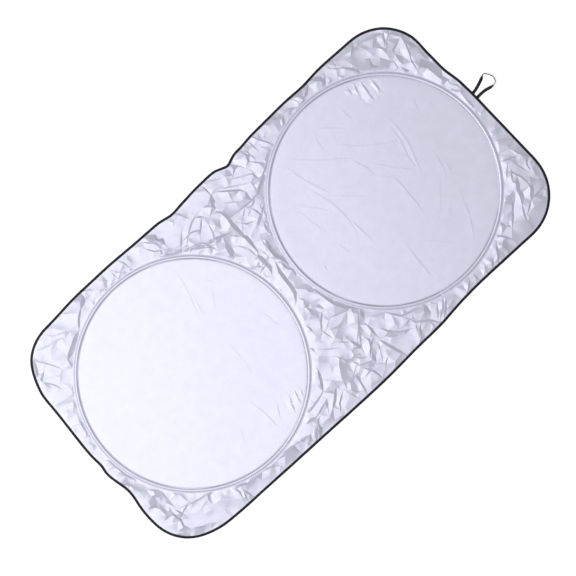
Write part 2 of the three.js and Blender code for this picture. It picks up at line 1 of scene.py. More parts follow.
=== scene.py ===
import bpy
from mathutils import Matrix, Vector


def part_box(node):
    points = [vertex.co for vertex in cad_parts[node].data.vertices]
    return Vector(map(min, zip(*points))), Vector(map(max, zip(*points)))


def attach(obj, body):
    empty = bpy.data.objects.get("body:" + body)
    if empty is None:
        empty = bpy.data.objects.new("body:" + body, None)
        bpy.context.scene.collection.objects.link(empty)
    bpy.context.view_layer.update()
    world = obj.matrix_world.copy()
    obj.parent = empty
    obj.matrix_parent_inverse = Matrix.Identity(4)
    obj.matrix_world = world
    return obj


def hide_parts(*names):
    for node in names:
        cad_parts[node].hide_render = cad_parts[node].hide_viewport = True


bl_info = {
    "name": "Windscreen sunshade",
    "version": (1, 0, 0),
    "blender": (4, 5, 0),
    "location": "View3D > Sidebar > Sunshade",
    "description": "Dresses an opened windscreen sunshade in crumpled silver cloth, tape and elastic",
    "category": "Object",
}

import math
import random

import bmesh
import bpy
from bpy.props import FloatProperty, FloatVectorProperty, IntProperty, PointerProperty
from bpy.types import Operator, Panel, PropertyGroup
from mathutils import Matrix, Vector, noise
from mathutils.bvhtree import BVHTree
from mathutils.geometry import delaunay_2d_cdt

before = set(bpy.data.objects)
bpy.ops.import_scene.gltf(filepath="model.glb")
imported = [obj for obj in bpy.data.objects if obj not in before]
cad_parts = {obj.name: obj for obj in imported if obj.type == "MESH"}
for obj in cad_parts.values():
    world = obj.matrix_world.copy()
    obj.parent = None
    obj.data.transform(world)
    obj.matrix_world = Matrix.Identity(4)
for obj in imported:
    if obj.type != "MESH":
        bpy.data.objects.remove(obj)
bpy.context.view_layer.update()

MM = 0.001
SHEET_LOW, SHEET_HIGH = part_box("sheet")
SHEET_MIDDLE = (SHEET_LOW + SHEET_HIGH) / 2
TAPE_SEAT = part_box("left_hoop_tape")[0].z
WIRE_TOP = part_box("left_hoop_wire")[1].z
CLIP_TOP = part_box("left_hoop_ferrule")[1].z

SIDES = ("left", "right")

# Where the tape's two seams and its outer edge run, as distances from the wire's middle line
INNER_SEAM = -4.6 * MM
OUTER_SEAM = 4.9 * MM
TAPE_EDGE = 7.5 * MM

# Painted shade along each seam's groove: its line, how dark the painted shade is, how far it spreads,
# and its place in the noise that makes it come and go
SEAM_SHADE_LOOKS = {
    "inner": (INNER_SEAM, 1.0, 1.5 * MM, 30.0),
    "outer": (OUTER_SEAM, 0.35, 0.9 * MM, 50.0),
}

# How far each tape puckers beside its seams, and its place in the noise that puckers it
PUCKER = 0.35 * MM
PUCKER_SEEDS = {"left": 5.0, "right": 8.0}

# Bearings, in degrees round each hoop, where the tape's end is lapped over its start, how many
# degrees the lap covers and how far it is raised
TAPE_JOINS = {"left": 280, "right": 260}
TAPE_LAP = 5
LAP_LIFT = 0.5 * MM

# Height of a triangle with even sides, as a share of a side
TRIANGLE_HEIGHT = 0.866

# The picture's width and height, and how far right of its middle and above it the middle between
# the hoops is, all in pixels
PICTURE_SIZE = 576
HOOPS_RIGHT = 0.4
HOOPS_UP = 5.65

# Folds read off the picture. Each gives how steep its shaded side is, how wide that side
# is, and the places that the middle of that side runs through, in the picture's pixels.
LEFT_END_FOLDS = (
    (3, 5, 85, 298, 81, 308),
    (3, 2, 81, 309, 79, 318, 79, 330),
    (3, 5, 78, 332, 74, 345, 68, 360),
    (1, 2, 44, 334, 52, 336, 60, 334, 70, 331, 77, 330),
    (2, 2, 35, 361, 37, 370, 39, 380, 40, 387),
    (2, 2, 44, 372, 42, 380, 40, 387),
    (1, 1.6, 35, 361, 45, 363, 55, 366, 62, 369),
    (1, 1.6, 46, 379, 60, 375),
    (1, 1.6, 43, 382, 55, 385, 62, 389),
    (3, 3, 81, 352, 78, 366, 77, 380, 78, 395, 80, 405, 83, 420, 87, 432),
    (1, 1.6, 61, 314, 70, 313),
    (1, 3, 40, 350, 52, 343, 62, 338),
    (1, 2, 62, 370, 61, 383),
    (1, 2, 72, 388, 76, 398),
    (2, 1.6, 72, 427, 78, 424),
    (1, 5, 76, 430, 84, 444),
    (2, 1.6, 86, 448, 93, 446),
    (1, 5, 93, 452, 103, 465),
    (2, 2, 108, 470, 114, 468),
    (2, 2, 90, 437, 100, 449, 110, 461, 125, 474, 140, 481, 158, 488, 175, 490, 200, 491),
)
LOWER_CORNER_FOLDS = (
    (2, 7, 112, 475, 125, 480, 135, 485),
    (2, 7, 130, 484, 146, 490),
    (3, 8, 148, 494, 152, 500, 157, 507),
    (2, 8, 160, 503, 166, 509, 172, 515),
    (2, 6, 152, 490, 165, 496),
    (3, 2, 168, 503, 174, 506),
    (3, 2, 170, 510, 175, 515, 181, 520, 184, 526, 190, 528),
    (3, 2, 176, 510, 184, 514),
    (2, 2, 181, 507, 192, 503, 200, 499, 207, 494, 215, 490, 225, 487),
    (1, 1.6, 202, 508, 208, 500),
    (2, 2, 191, 529, 200, 527, 207, 526),
    (1, 2, 200, 523, 217, 522),
    (1, 1.6, 218, 520, 222, 522),
    (1, 1.6, 226, 512, 232, 516),
    (2, 2, 173, 533, 183, 532, 190, 534, 196, 535),
    (1, 2, 167, 525, 178, 522),
    (1, 5, 226, 497, 238, 498),
    (2, 2, 233, 487, 240, 492, 243, 498),
    (2, 2, 243, 489, 250, 494, 254, 497),
    (2, 2, 244, 492, 248, 500),
)
LOWER_EDGE_FOLDS = (
    (3, 4, 232, 486, 245, 483, 256, 476, 262, 472),
    (2, 2, 262, 471, 271, 467, 278, 460),
    (3, 4, 280, 458, 288, 451, 294, 445),
    (2, 2, 294, 445, 301, 440, 311, 434),
    (1, 1.6, 275, 467, 285, 466),
    (2, 2, 281, 466, 284, 470),
    (1, 1.6, 300, 441, 309, 442),
    (2, 2, 300, 424, 306, 416, 312, 408, 318, 400, 323, 392),
    (1, 1.6, 310, 418, 320, 414, 325, 410),
    (3, 3, 319, 418, 317, 430, 316, 440),
    (3, 4, 319, 420, 321, 428, 320, 436),
    (1, 4, 314, 428, 311, 440, 308, 448),
    (2, 3, 326, 400, 328, 408),
    (2, 3, 333, 408, 335, 400, 336, 388),
    (3, 3, 318, 370, 321, 380, 323, 391),
    (2, 2, 311, 390, 312, 402),
    (1, 1.6, 319, 380, 331, 380),
    (3, 6, 340, 358, 343, 370, 346, 386),
)
MIDDLE_FOLDS = (
    (2, 2, 322, 312, 321, 322, 322, 334),
    (1, 1.6, 329, 321, 326, 329),
    (2, 7, 304, 300, 312, 309, 319, 318),
    (2, 1.6, 330, 318, 340, 313, 347, 311),
    (2, 3, 350, 341, 358, 345, 363, 350),
    (1, 8, 352, 350, 360, 354),
    (2, 2, 354, 355, 360, 358, 366, 357),
    (2, 1.6, 337, 342, 349, 342),
    (1, 1.6, 315, 341, 326, 342),
    (1, 1.6, 317, 350, 330, 349, 341, 347),
    (1, 1.6, 358, 309, 359, 325, 357, 342),
    (2, 4, 360, 309, 364, 318),
    (3, 3, 367, 325, 372, 330, 376, 335),
    (3, 2, 373, 338, 371, 347, 370, 356),
    (2, 4, 372, 354, 376, 361),
    (1, 1.6, 378, 342, 381, 352, 383, 362),
    (2, 3, 380, 340, 388, 345, 397, 350, 406, 355),
    (2, 2, 380, 328, 388, 331, 400, 332, 410, 329),
    (1, 4, 385, 336, 398, 335),
    (2, 2, 383, 311, 392, 314, 402, 316, 412, 311, 422, 305),
    (1, 2, 370, 317, 385, 313),
    (2, 1.6, 356, 366, 364, 364, 372, 360),
    (3, 3, 356, 366, 354, 373),
    (2, 2, 364, 368, 374, 371, 383, 378),
    (2, 2, 357, 376, 363, 386, 367, 393),
    (1, 1.6, 360, 344, 370, 336),
    (2, 2, 302, 338, 309, 345, 315, 352),
    (3, 2, 273, 220, 274, 230),
    (3, 3, 277, 228, 278, 240, 280, 248),
    (3, 4, 266, 240, 270, 248, 275, 255, 282, 258, 287, 262, 289, 268),
    (1, 1.6, 262, 250, 268, 256),
    (2, 5, 258, 255, 264, 261, 270, 267, 272, 273),
    (3, 4, 276, 263, 280, 272, 286, 280, 291, 286, 295, 293, 296, 302),
    (3, 3, 281, 263, 288, 268, 296, 270),
    (3, 3, 291, 256, 296, 262, 301, 268, 308, 277, 315, 283, 325, 290, 335, 296, 345, 301),
    (2, 4, 281, 290, 285, 298, 289, 306, 291, 312),
    (3, 5, 315, 290, 325, 296, 335, 303, 345, 306, 357, 307),
    (3, 3, 250, 269, 260, 277, 270, 286, 279, 296, 288, 308, 294, 318, 300, 331, 305, 345, 310, 360),
    (3, 3, 240, 262, 248, 265, 256, 267),
    (1, 1.6, 260, 275, 272, 277),
    (2, 2, 262, 240, 266, 247),
    (1, 3, 264, 222, 268, 232),
)
UPPER_EDGE_FOLDS = (
    (3, 4, 82, 295, 84, 300, 81, 308),
    (1, 1.6, 85, 291, 95, 289, 105, 289, 115, 284),
    (1, 1.6, 111, 271, 120, 272, 130, 272),
    (2, 6, 114, 275, 128, 276),
    (2, 2, 118, 261, 124, 263, 129, 267),
    (3, 4, 130, 269, 140, 264, 150, 262, 160, 261),
    (2, 2, 118, 280, 130, 273, 145, 267, 160, 262, 180, 257, 200, 256),
    (2, 5, 145, 238, 155, 237, 162, 240, 165, 244),
    (3, 1.6, 159, 247, 164, 256),
    (1, 1.6, 163, 249, 180, 249),
    (1, 5, 93, 303, 101, 297, 109, 288),
    (3, 2, 171, 217, 174, 223),
    (2, 2, 199, 188, 206, 190, 211, 195),
    (3, 5, 211, 195, 213, 202, 214, 208, 211, 214),
    (3, 4, 216, 211, 222, 213, 228, 218, 232, 224, 238, 230, 246, 237, 252, 244, 258, 252),
    (2, 1.6, 230, 218, 240, 210, 250, 202, 258, 194, 262, 186),
    (2, 2, 216, 192, 228, 191, 240, 190, 246, 192),
    (2, 4, 246, 192, 248, 198, 252, 200),
    (1, 1.6, 222, 189, 235, 186, 250, 183),
    (1, 1.6, 232, 179, 245, 176, 257, 172),
    (3, 1.6, 233, 176, 235, 170),
    (1, 1.6, 201, 186, 210, 181, 220, 179),
    (1, 1.6, 222, 204, 232, 202, 240, 202),
    (2, 1.6, 187, 244, 189, 232, 192, 222, 197, 214),
    (2, 1.6, 200, 235, 201, 225, 202, 218),
    (2, 3, 186, 249, 200, 245, 210, 241, 222, 236, 233, 231),
    (3, 2, 232, 236, 240, 236, 247, 237),
    (3, 4, 203, 243, 210, 246, 214, 248),
    (2, 6, 226, 243, 230, 250, 234, 257),
    (1, 6, 190, 241, 200, 242),
    (2, 3, 160, 256, 175, 251, 185, 247),
    (3, 4, 270, 158, 266, 170, 262, 182, 258, 190),
    (3, 2, 241, 152, 246, 155, 248, 160, 250, 163),
    (2, 5, 228, 168, 238, 166),
    (1, 2, 245, 207, 243, 218, 242, 228),
    (1, 2, 256, 197, 252, 206, 248, 216),
    (3, 2, 262, 201, 260, 208),
    (1, 3, 264, 205, 258, 225, 252, 235),
    (3, 3, 272, 172, 270, 185, 270, 197, 272, 210, 274, 218, 278, 229, 283, 240, 287, 249, 290, 256),
)
UPPER_CORNER_FOLDS = (
    (2, 5, 312, 80, 320, 79, 325, 81),
    (3, 4, 325, 76, 324, 83, 321, 89),
    (2, 2, 328, 84, 338, 80, 345, 78),
    (2, 3, 308, 86, 306, 95, 303, 106),
    (1, 6, 302, 92, 300, 104),
    (1, 5, 292, 99, 298, 102),
    (2, 3, 299, 106, 296, 114, 291, 122),
    (2, 3, 283, 117, 284, 125, 286, 131),
    (3, 4, 280, 132, 278, 142, 275, 152, 271, 160, 269, 168),
    (1, 8, 266, 132, 275, 126, 279, 119),
    (2, 2, 248, 142, 253, 146, 257, 150),
    (2, 3, 243, 152, 249, 155, 249, 160),
    (1, 3, 262, 147, 268, 148),
    (2, 2, 323, 92, 312, 99, 300, 111, 292, 122, 286, 132, 279, 148, 274, 162),
    (3, 8, 415, 62, 424, 64, 432, 66),
    (3, 8, 432, 68, 440, 74, 448, 80),
    (3, 4, 403, 41, 410, 44, 417, 47),
    (3, 2, 401, 37, 406, 45, 410, 55, 412, 62, 417, 70),
    (2, 4, 420, 53, 426, 58),
    (2, 4, 384, 32, 392, 33, 398, 36),
    (1, 6, 386, 40, 392, 42),
    (2, 2, 382, 30, 384, 40, 385, 47),
    (2, 2, 399, 39, 396, 45, 393, 50, 395, 54),
    (3, 2, 352, 43, 353, 48, 351, 56),
    (1, 3, 358, 46, 353, 55),
    (1, 4, 362, 42, 372, 37, 380, 33),
    (2, 2, 378, 48, 386, 49),
    (2, 3, 341, 68, 350, 69, 358, 71, 367, 73),
    (1, 10, 352, 66, 370, 63, 390, 62),
    (2, 2, 366, 72, 380, 72, 392, 71, 402, 70),
    (2, 5, 394, 62, 398, 68),
    (3, 3, 402, 68, 409, 72, 417, 76),
    (2, 4, 332, 62, 336, 66),
    (2, 2, 330, 69, 336, 69, 342, 67),
    (3, 3, 330, 81, 338, 79, 345, 77, 352, 75),
    (2, 2, 450, 84, 457, 85, 461, 89),
    (1, 2, 447, 88, 460, 92),
    (1, 2, 452, 93, 462, 95),
)
RIGHT_END_FOLDS = (
    (3, 3, 464, 97, 470, 103, 474, 109, 479, 117, 485, 127, 488, 135, 493, 143, 496, 155),
    (3, 3, 496, 155, 498, 165, 500, 178, 500, 190),
    (1, 1.6, 488, 133, 495, 130, 502, 127),
    (1, 1.6, 492, 141, 503, 140, 512, 139),
    (2, 2, 509, 149, 516, 152, 526, 156),
    (1, 1.6, 508, 158, 515, 155),
    (2, 1.6, 481, 113, 484, 110),
    (2, 2, 500, 162, 508, 159, 516, 156),
    (2, 2, 526, 157, 527, 165, 530, 170),
    (1, 2, 541, 176, 533, 182),
    (1, 1.6, 542, 176, 544, 186),
    (1, 2, 546, 190, 548, 198),
    (1, 1.6, 530, 170, 535, 164),
    (3, 8, 514, 190, 510, 205, 505, 220, 503, 232),
    (3, 9, 504, 240, 508, 250),
    (3, 2, 496, 235, 505, 237, 512, 239),
    (2, 2, 501, 192, 500, 205, 497, 212),
    (2, 3, 509, 195, 500, 208, 494, 222, 489, 235, 480, 250),
    (3, 2, 511, 170, 512, 182),
    (1, 2, 507, 165, 507, 178),
    (2, 4, 517, 178, 518, 190, 520, 197),
    (2, 2, 512, 173, 520, 176, 527, 182, 532, 187),
    (3, 4, 530, 182, 532, 190, 531, 200),
    (3, 2, 531, 200, 529, 208, 527, 215),
    (2, 2, 522, 205, 524, 214, 528, 223),
    (3, 2, 512, 200, 513, 215, 512, 228),
    (1, 8, 530, 217, 533, 226),
    (2, 4, 472, 268, 480, 259, 488, 251),
    (2, 3, 493, 258, 492, 268),
    (1, 3, 485, 265, 487, 274),
    (3, 3, 496, 244, 498, 254, 499, 262),
    (2, 3, 492, 234, 496, 241),
    (2, 3, 450, 290, 460, 280, 468, 273),
    (3, 2, 469, 279, 469, 286, 467, 292),
    (2, 2, 471, 272, 476, 277, 480, 281),
    (3, 2, 446, 299, 446, 308, 444, 316),
    (3, 2, 443, 297, 443, 308, 440, 318),
    (2, 2, 449, 306, 453, 310),
    (1, 3, 437, 305, 438, 318),
    (1, 8, 424, 305, 430, 312),
    (1, 2, 412, 318, 405, 324, 400, 330),
    (2, 2, 408, 318, 416, 322, 430, 320, 440, 322),
    (3, 3, 420, 326, 421, 337),
)
DISC_FOLDS = (
    (2.2, 2.4, 354, 84, 359, 95),
    (2.6, 2.4, 361, 82, 368, 92, 374, 100),
    (2.4, 2.4, 372, 80, 381, 91),
    (1.2, 2.4, 348, 88, 352, 95),
    (0.8, 2, 377, 96, 380, 101),
    (0.5, 1.8, 287, 168, 308, 182, 329, 192),
    (0.4, 1.8, 306, 187, 328, 200, 338, 208, 348, 218, 359, 235),
    (0.5, 1.8, 288, 159, 318, 160, 350, 158),
    (0.5, 1.8, 352, 160, 368, 168, 376, 176),
    (0.3, 1.8, 376, 176, 395, 177),
    (0.6, 1.8, 395, 177, 408, 192, 423, 210),
    (0.5, 1.8, 388, 117, 400, 130, 410, 144, 416, 160, 422, 173),
    (0.4, 1.8, 390, 126, 401, 140, 408, 156, 417, 168),
    (0.4, 1.8, 334, 144, 356, 146, 380, 144, 398, 140),
    (0.4, 1.8, 318, 128, 343, 128),
    (0.4, 1.8, 340, 108, 352, 119),
    (0.4, 1.8, 316, 139, 325, 152),
    (0.4, 1.8, 372, 163, 392, 167, 408, 169, 417, 170),
    (0.3, 1.8, 332, 192, 354, 185, 370, 179),
    (0.4, 1.8, 330, 196, 368, 196),
    (0.5, 1.8, 348, 218, 362, 230, 374, 241),
    (0.3, 1.8, 294, 206, 312, 222, 326, 231),
    (0.4, 1.8, 300, 206, 318, 208, 328, 210),
    (0.6, 1.8, 408, 246, 420, 262, 434, 279),
    (0.4, 1.8, 460, 190, 468, 210, 473, 228, 474, 242),
    (0.4, 1.8, 436, 154, 444, 168, 446, 174),
    (0.4, 1.8, 446, 162, 452, 172),
    (0.3, 1.8, 424, 240, 440, 241, 456, 243),
    (0.4, 1.8, 314, 250, 328, 246),
    (0.6, 1.8, 323, 264, 328, 271),
    (0.4, 1.8, 338, 244, 350, 252),
    (0.4, 1.8, 412, 96, 420, 113),
    (0.3, 1.8, 440, 178, 441, 210),
    (0.3, 1.8, 452, 200, 450, 214),
    (0.5, 1.8, 178, 274, 187, 289, 194, 305, 199, 315),
    (0.4, 1.8, 195, 298, 203, 314),
    (0.4, 1.8, 212, 285, 215, 309),
    (0.3, 1.8, 185, 279, 203, 279, 221, 285),
    (0.5, 1.8, 264, 313, 279, 325),
    (0.4, 1.8, 231, 345, 243, 359, 251, 371),
    (0.7, 1.8, 251, 402, 265, 413, 279, 427),
    (0.8, 1.8, 277, 403, 280, 417),
    (1.6, 2.2, 290, 397, 295, 412),
    (1.6, 2.2, 295, 391, 301, 403),
    (1.0, 2.2, 300, 388, 304, 397),
    (0.4, 1.8, 241, 427, 245, 445),
    (0.3, 1.8, 203, 457, 231, 464),
    (0.3, 1.8, 169, 408, 181, 413),
)
LOOSE_FOLDS = (
    LEFT_END_FOLDS
    + LOWER_CORNER_FOLDS
    + LOWER_EDGE_FOLDS
    + MIDDLE_FOLDS
    + UPPER_EDGE_FOLDS
    + UPPER_CORNER_FOLDS
    + RIGHT_END_FOLDS
)


def length_setting(name, description, default):
    return FloatProperty(
        name=name, description=description, default=default, subtype="DISTANCE", unit="LENGTH"
    )


def share_setting(name, description, default):
    return FloatProperty(
        name=name, description=description, default=default, min=0.0, max=1.0, subtype="FACTOR"
    )


def colour_setting(name, description, default):
    return FloatVectorProperty(
        name=name, description=description, default=default, size=3, min=0.0, max=1.0, subtype="COLOR"
    )


class SunshadeSheetSettings(PropertyGroup):
    facet: length_setting("Facet", "Width of one facet of the crumple between the folds", 22 * MM)
    crumple: length_setting("Crumple", "How far those facets' corners stand up or dip", 2.3 * MM)
    small_folds: IntProperty(
        name="Small folds", description="Tries at placing a short random fold", default=550, min=0
    )
    thickness: length_setting("Thickness", "Thickness of the cloth", 0.35 * MM)
    fold_ease: share_setting("Fold ease", "How much lower than in the solid the wide folds lie", 0.7)
    fold_slope: FloatProperty(
        name="Fold slope", description="Slope of one step of a fold's steepness", default=0.23
    )
    disc_slope: FloatProperty(
        name="Disc slope", description="The same for the faint folds of the discs", default=0.13
    )
    steepest: FloatProperty(
        name="Steepest", description="The steepest slope in the loose cloth", default=0.75
    )
    colour: colour_setting("Colour", "Colour of the silver coating", (0.80, 0.808, 0.96))
    metal: share_setting("Metal", "How metallic the silver coating looks", 0.5)
    roughness: share_setting("Roughness", "Roughness of the silver coating", 0.42)


class SunshadeHoopSettings(PropertyGroup):
    steps: IntProperty(name="Steps", description="Steps of each tape round its hoop", default=360, min=72)
    stitch_pitch: length_setting("Stitch pitch", "Distance from stitch to stitch", 4.2 * MM)
    stitch_length: length_setting("Stitch length", "Length of one stitch", 3.0 * MM)
    thread: length_setting("Thread", "Thickness of the sewing thread", 0.6 * MM)
    thread_colour: colour_setting("Thread colour", "Colour of the thread in the tapes", (0.2, 0.2, 0.24))


class SunshadeBindingSettings(PropertyGroup):
    width: length_setting("Width", "Width of the folded binding", 7 * MM)
    thickness: length_setting("Thickness", "Thickness of the binding tape", 0.5 * MM)
    step: length_setting("Step", "Length of one step of the binding along the edge", 4.5 * MM)
    colour: colour_setting("Colour", "Colour of the binding tape", (0.004, 0.004, 0.008))
    roughness: share_setting("Roughness", "Roughness of the binding tape", 0.55)


class SunshadeLoopSettings(PropertyGroup):
    width: length_setting("Width", "Width of the elastic", 8.5 * MM)
    thickness: length_setting("Thickness", "Thickness of the elastic", 1.0 * MM)
    colour: colour_setting("Colour", "Colour of the elastic", (0.01, 0.01, 0.013))


class SunshadeStageSettings(PropertyGroup):
    key_power: FloatProperty(
        name="Key power", description="Power of the main lamp", default=138.0, unit="POWER"
    )
    world_light: share_setting("World light", "Strength of the even light from all round", 0.4)
    lens: FloatProperty(
        name="Lens", description="Focal length of the camera", default=100.0, subtype="DISTANCE_CAMERA"
    )
    picture_width: length_setting("Picture width", "Width of the floor that the camera sees", 1.524)
    turn: FloatProperty(
        name="Turn",
        description="Turn of the camera about the view",
        default=math.radians(-43.6),
        subtype="ANGLE",
    )


def box_middle(node):
    low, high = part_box(node)
    return (low + high) / 2


def picture_frame(stage):
    """Where the middle of the picture is on the ground, its directions there and the size of a pixel."""
    right = Vector((math.cos(stage.turn), math.sin(stage.turn), 0.0))
    up = Vector((-math.sin(stage.turn), math.cos(stage.turn), 0.0))
    corners = (*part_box("left_hoop_tape"), *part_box("right_hoop_tape"))
    middle = (corners[0] + corners[1] + corners[2] + corners[3]) / 4
    pixel = stage.picture_width / PICTURE_SIZE
    centre = middle - right * HOOPS_RIGHT * pixel - up * HOOPS_UP * pixel
    return Vector((centre.x, centre.y, 0.0)), right, up, pixel


def smoothstep(value, low, high):
    """0 up to one value, 1 from another one on, and an even curve between them."""
    share = min(max((value - low) / (high - low), 0.0), 1.0)
    return share * share * (3 - 2 * share)


def finish_piece(mesh_edit, name, material):
    """Puts an edited mesh into the scene as a smooth piece that rides on the object."""
    mesh = bpy.data.meshes.new(name)
    for face in mesh_edit.faces:
        face.smooth = True
    mesh_edit.to_mesh(mesh)
    mesh_edit.free()
    piece = bpy.data.objects.new(name, mesh)
    bpy.context.scene.collection.objects.link(piece)
    mesh.materials.append(material)
    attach(piece, "root")
    return piece


def turn_faces_up(mesh_edit):
    """Makes the faces of an open sheet agree and point up."""
    bmesh.ops.recalc_face_normals(mesh_edit, faces=mesh_edit.faces)
    if sum(face.normal.z for face in mesh_edit.faces) < 0:
        bmesh.ops.reverse_faces(mesh_edit, faces=mesh_edit.faces)


def grid_band(columns, rows, place, round_columns=False, round_rows=False):
    """A band of cells with its corners put where place(column, row) says, closed on itself where asked."""
    band = bmesh.new()
    bmesh.ops.create_grid(band, x_segments=columns, y_segments=rows, size=1.0)
    for corner in band.verts:
        column = round((corner.co.x + 1) / 2 * columns)
        row = round((corner.co.y + 1) / 2 * rows)
        corner.co = place(column % columns if round_columns else column, row % rows if round_rows else row)
    if round_columns or round_rows:
        bmesh.ops.remove_doubles(band, verts=band.verts, dist=1e-6)
    return band


class ClothForm:
    """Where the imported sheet's top face and rim are, and how far a place is from its fixed parts."""

    def __init__(self):
        source = bmesh.new()
        source.from_mesh(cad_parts["sheet"].data)
        self.tree = BVHTree.FromBMesh(source)
        source.free()
        self.hoops = {side: box_middle(f"{side}_hoop_tape") for side in SIDES}
        low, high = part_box("left_hoop_tape")
        self.taut_radius = (high.x - low.x) / 2 + 0.5 * MM
        self.steps = 1440
        self.rim = [self.find_rim(math.tau * step / self.steps) for step in range(self.steps)]

    def solid_top(self, x, y):
        hit = self.tree.ray_cast(Vector((x, y, 1.0)), Vector((0.0, 0.0, -1.0)))[0]
        return None if hit is None else hit.z

    def find_rim(self, angle):
        """How far the rim is in one direction, by halving the stretch that it must lie in."""
        inside, outside = 0.3, 0.9
        for _ in range(16):
            reach = (inside + outside) / 2
            x = SHEET_MIDDLE.x + reach * math.cos(angle)
            y = SHEET_MIDDLE.y + reach * math.sin(angle)
            if self.solid_top(x, y) is None:
                outside = reach
            else:
                inside = reach
        return inside

    def rim_reach(self, angle):
        """How far the rim is from the sheet's middle, in one direction."""
        place = angle % math.tau / math.tau * self.steps
        before = int(place) % self.steps
        after = (before + 1) % self.steps
        share = place - int(place)
        return self.rim[before] * (1 - share) + self.rim[after] * share

    def off_disc(self, x, y):
        """How far a point is outside the nearer taut disc."""
        return min(math.hypot(x - hoop.x, y - hoop.y) for hoop in self.hoops.values()) - self.taut_radius

    def off_rim(self, x, y):
        """How far a point is inside the rim, measured from the sheet's middle."""
        across, up = x - SHEET_MIDDLE.x, y - SHEET_MIDDLE.y
        return self.rim_reach(math.atan2(up, across)) - math.hypot(across, up)

    def looseness(self, x, y):
        """0 on the discs and at the rim, 1 in the loose cloth between them."""
        return smoothstep(self.off_disc(x, y), 0.0, 6 * MM) * smoothstep(self.off_rim(x, y), 6 * MM, 15 * MM)

    def disc_lift(self, x, y):
        """How far the taut cloth rises towards the tape's inner edge, before it dips below the wire."""
        depth = -self.off_disc(x, y)
        return 0.8 * MM * smoothstep(depth, 10 * MM, 13.5 * MM) * (1 - smoothstep(depth, 15 * MM, 95 * MM))

    def base_top(self, x, y):
        """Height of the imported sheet's top face, just inside its rim at the least."""
        for pull in (0.0, 0.001, 0.003, 0.006):
            shift_x = (SHEET_MIDDLE.x - x) * pull
            shift_y = (SHEET_MIDDLE.y - y) * pull
            top = self.solid_top(x + shift_x, y + shift_y)
            if top is not None:
                return top
        return SHEET_LOW.z


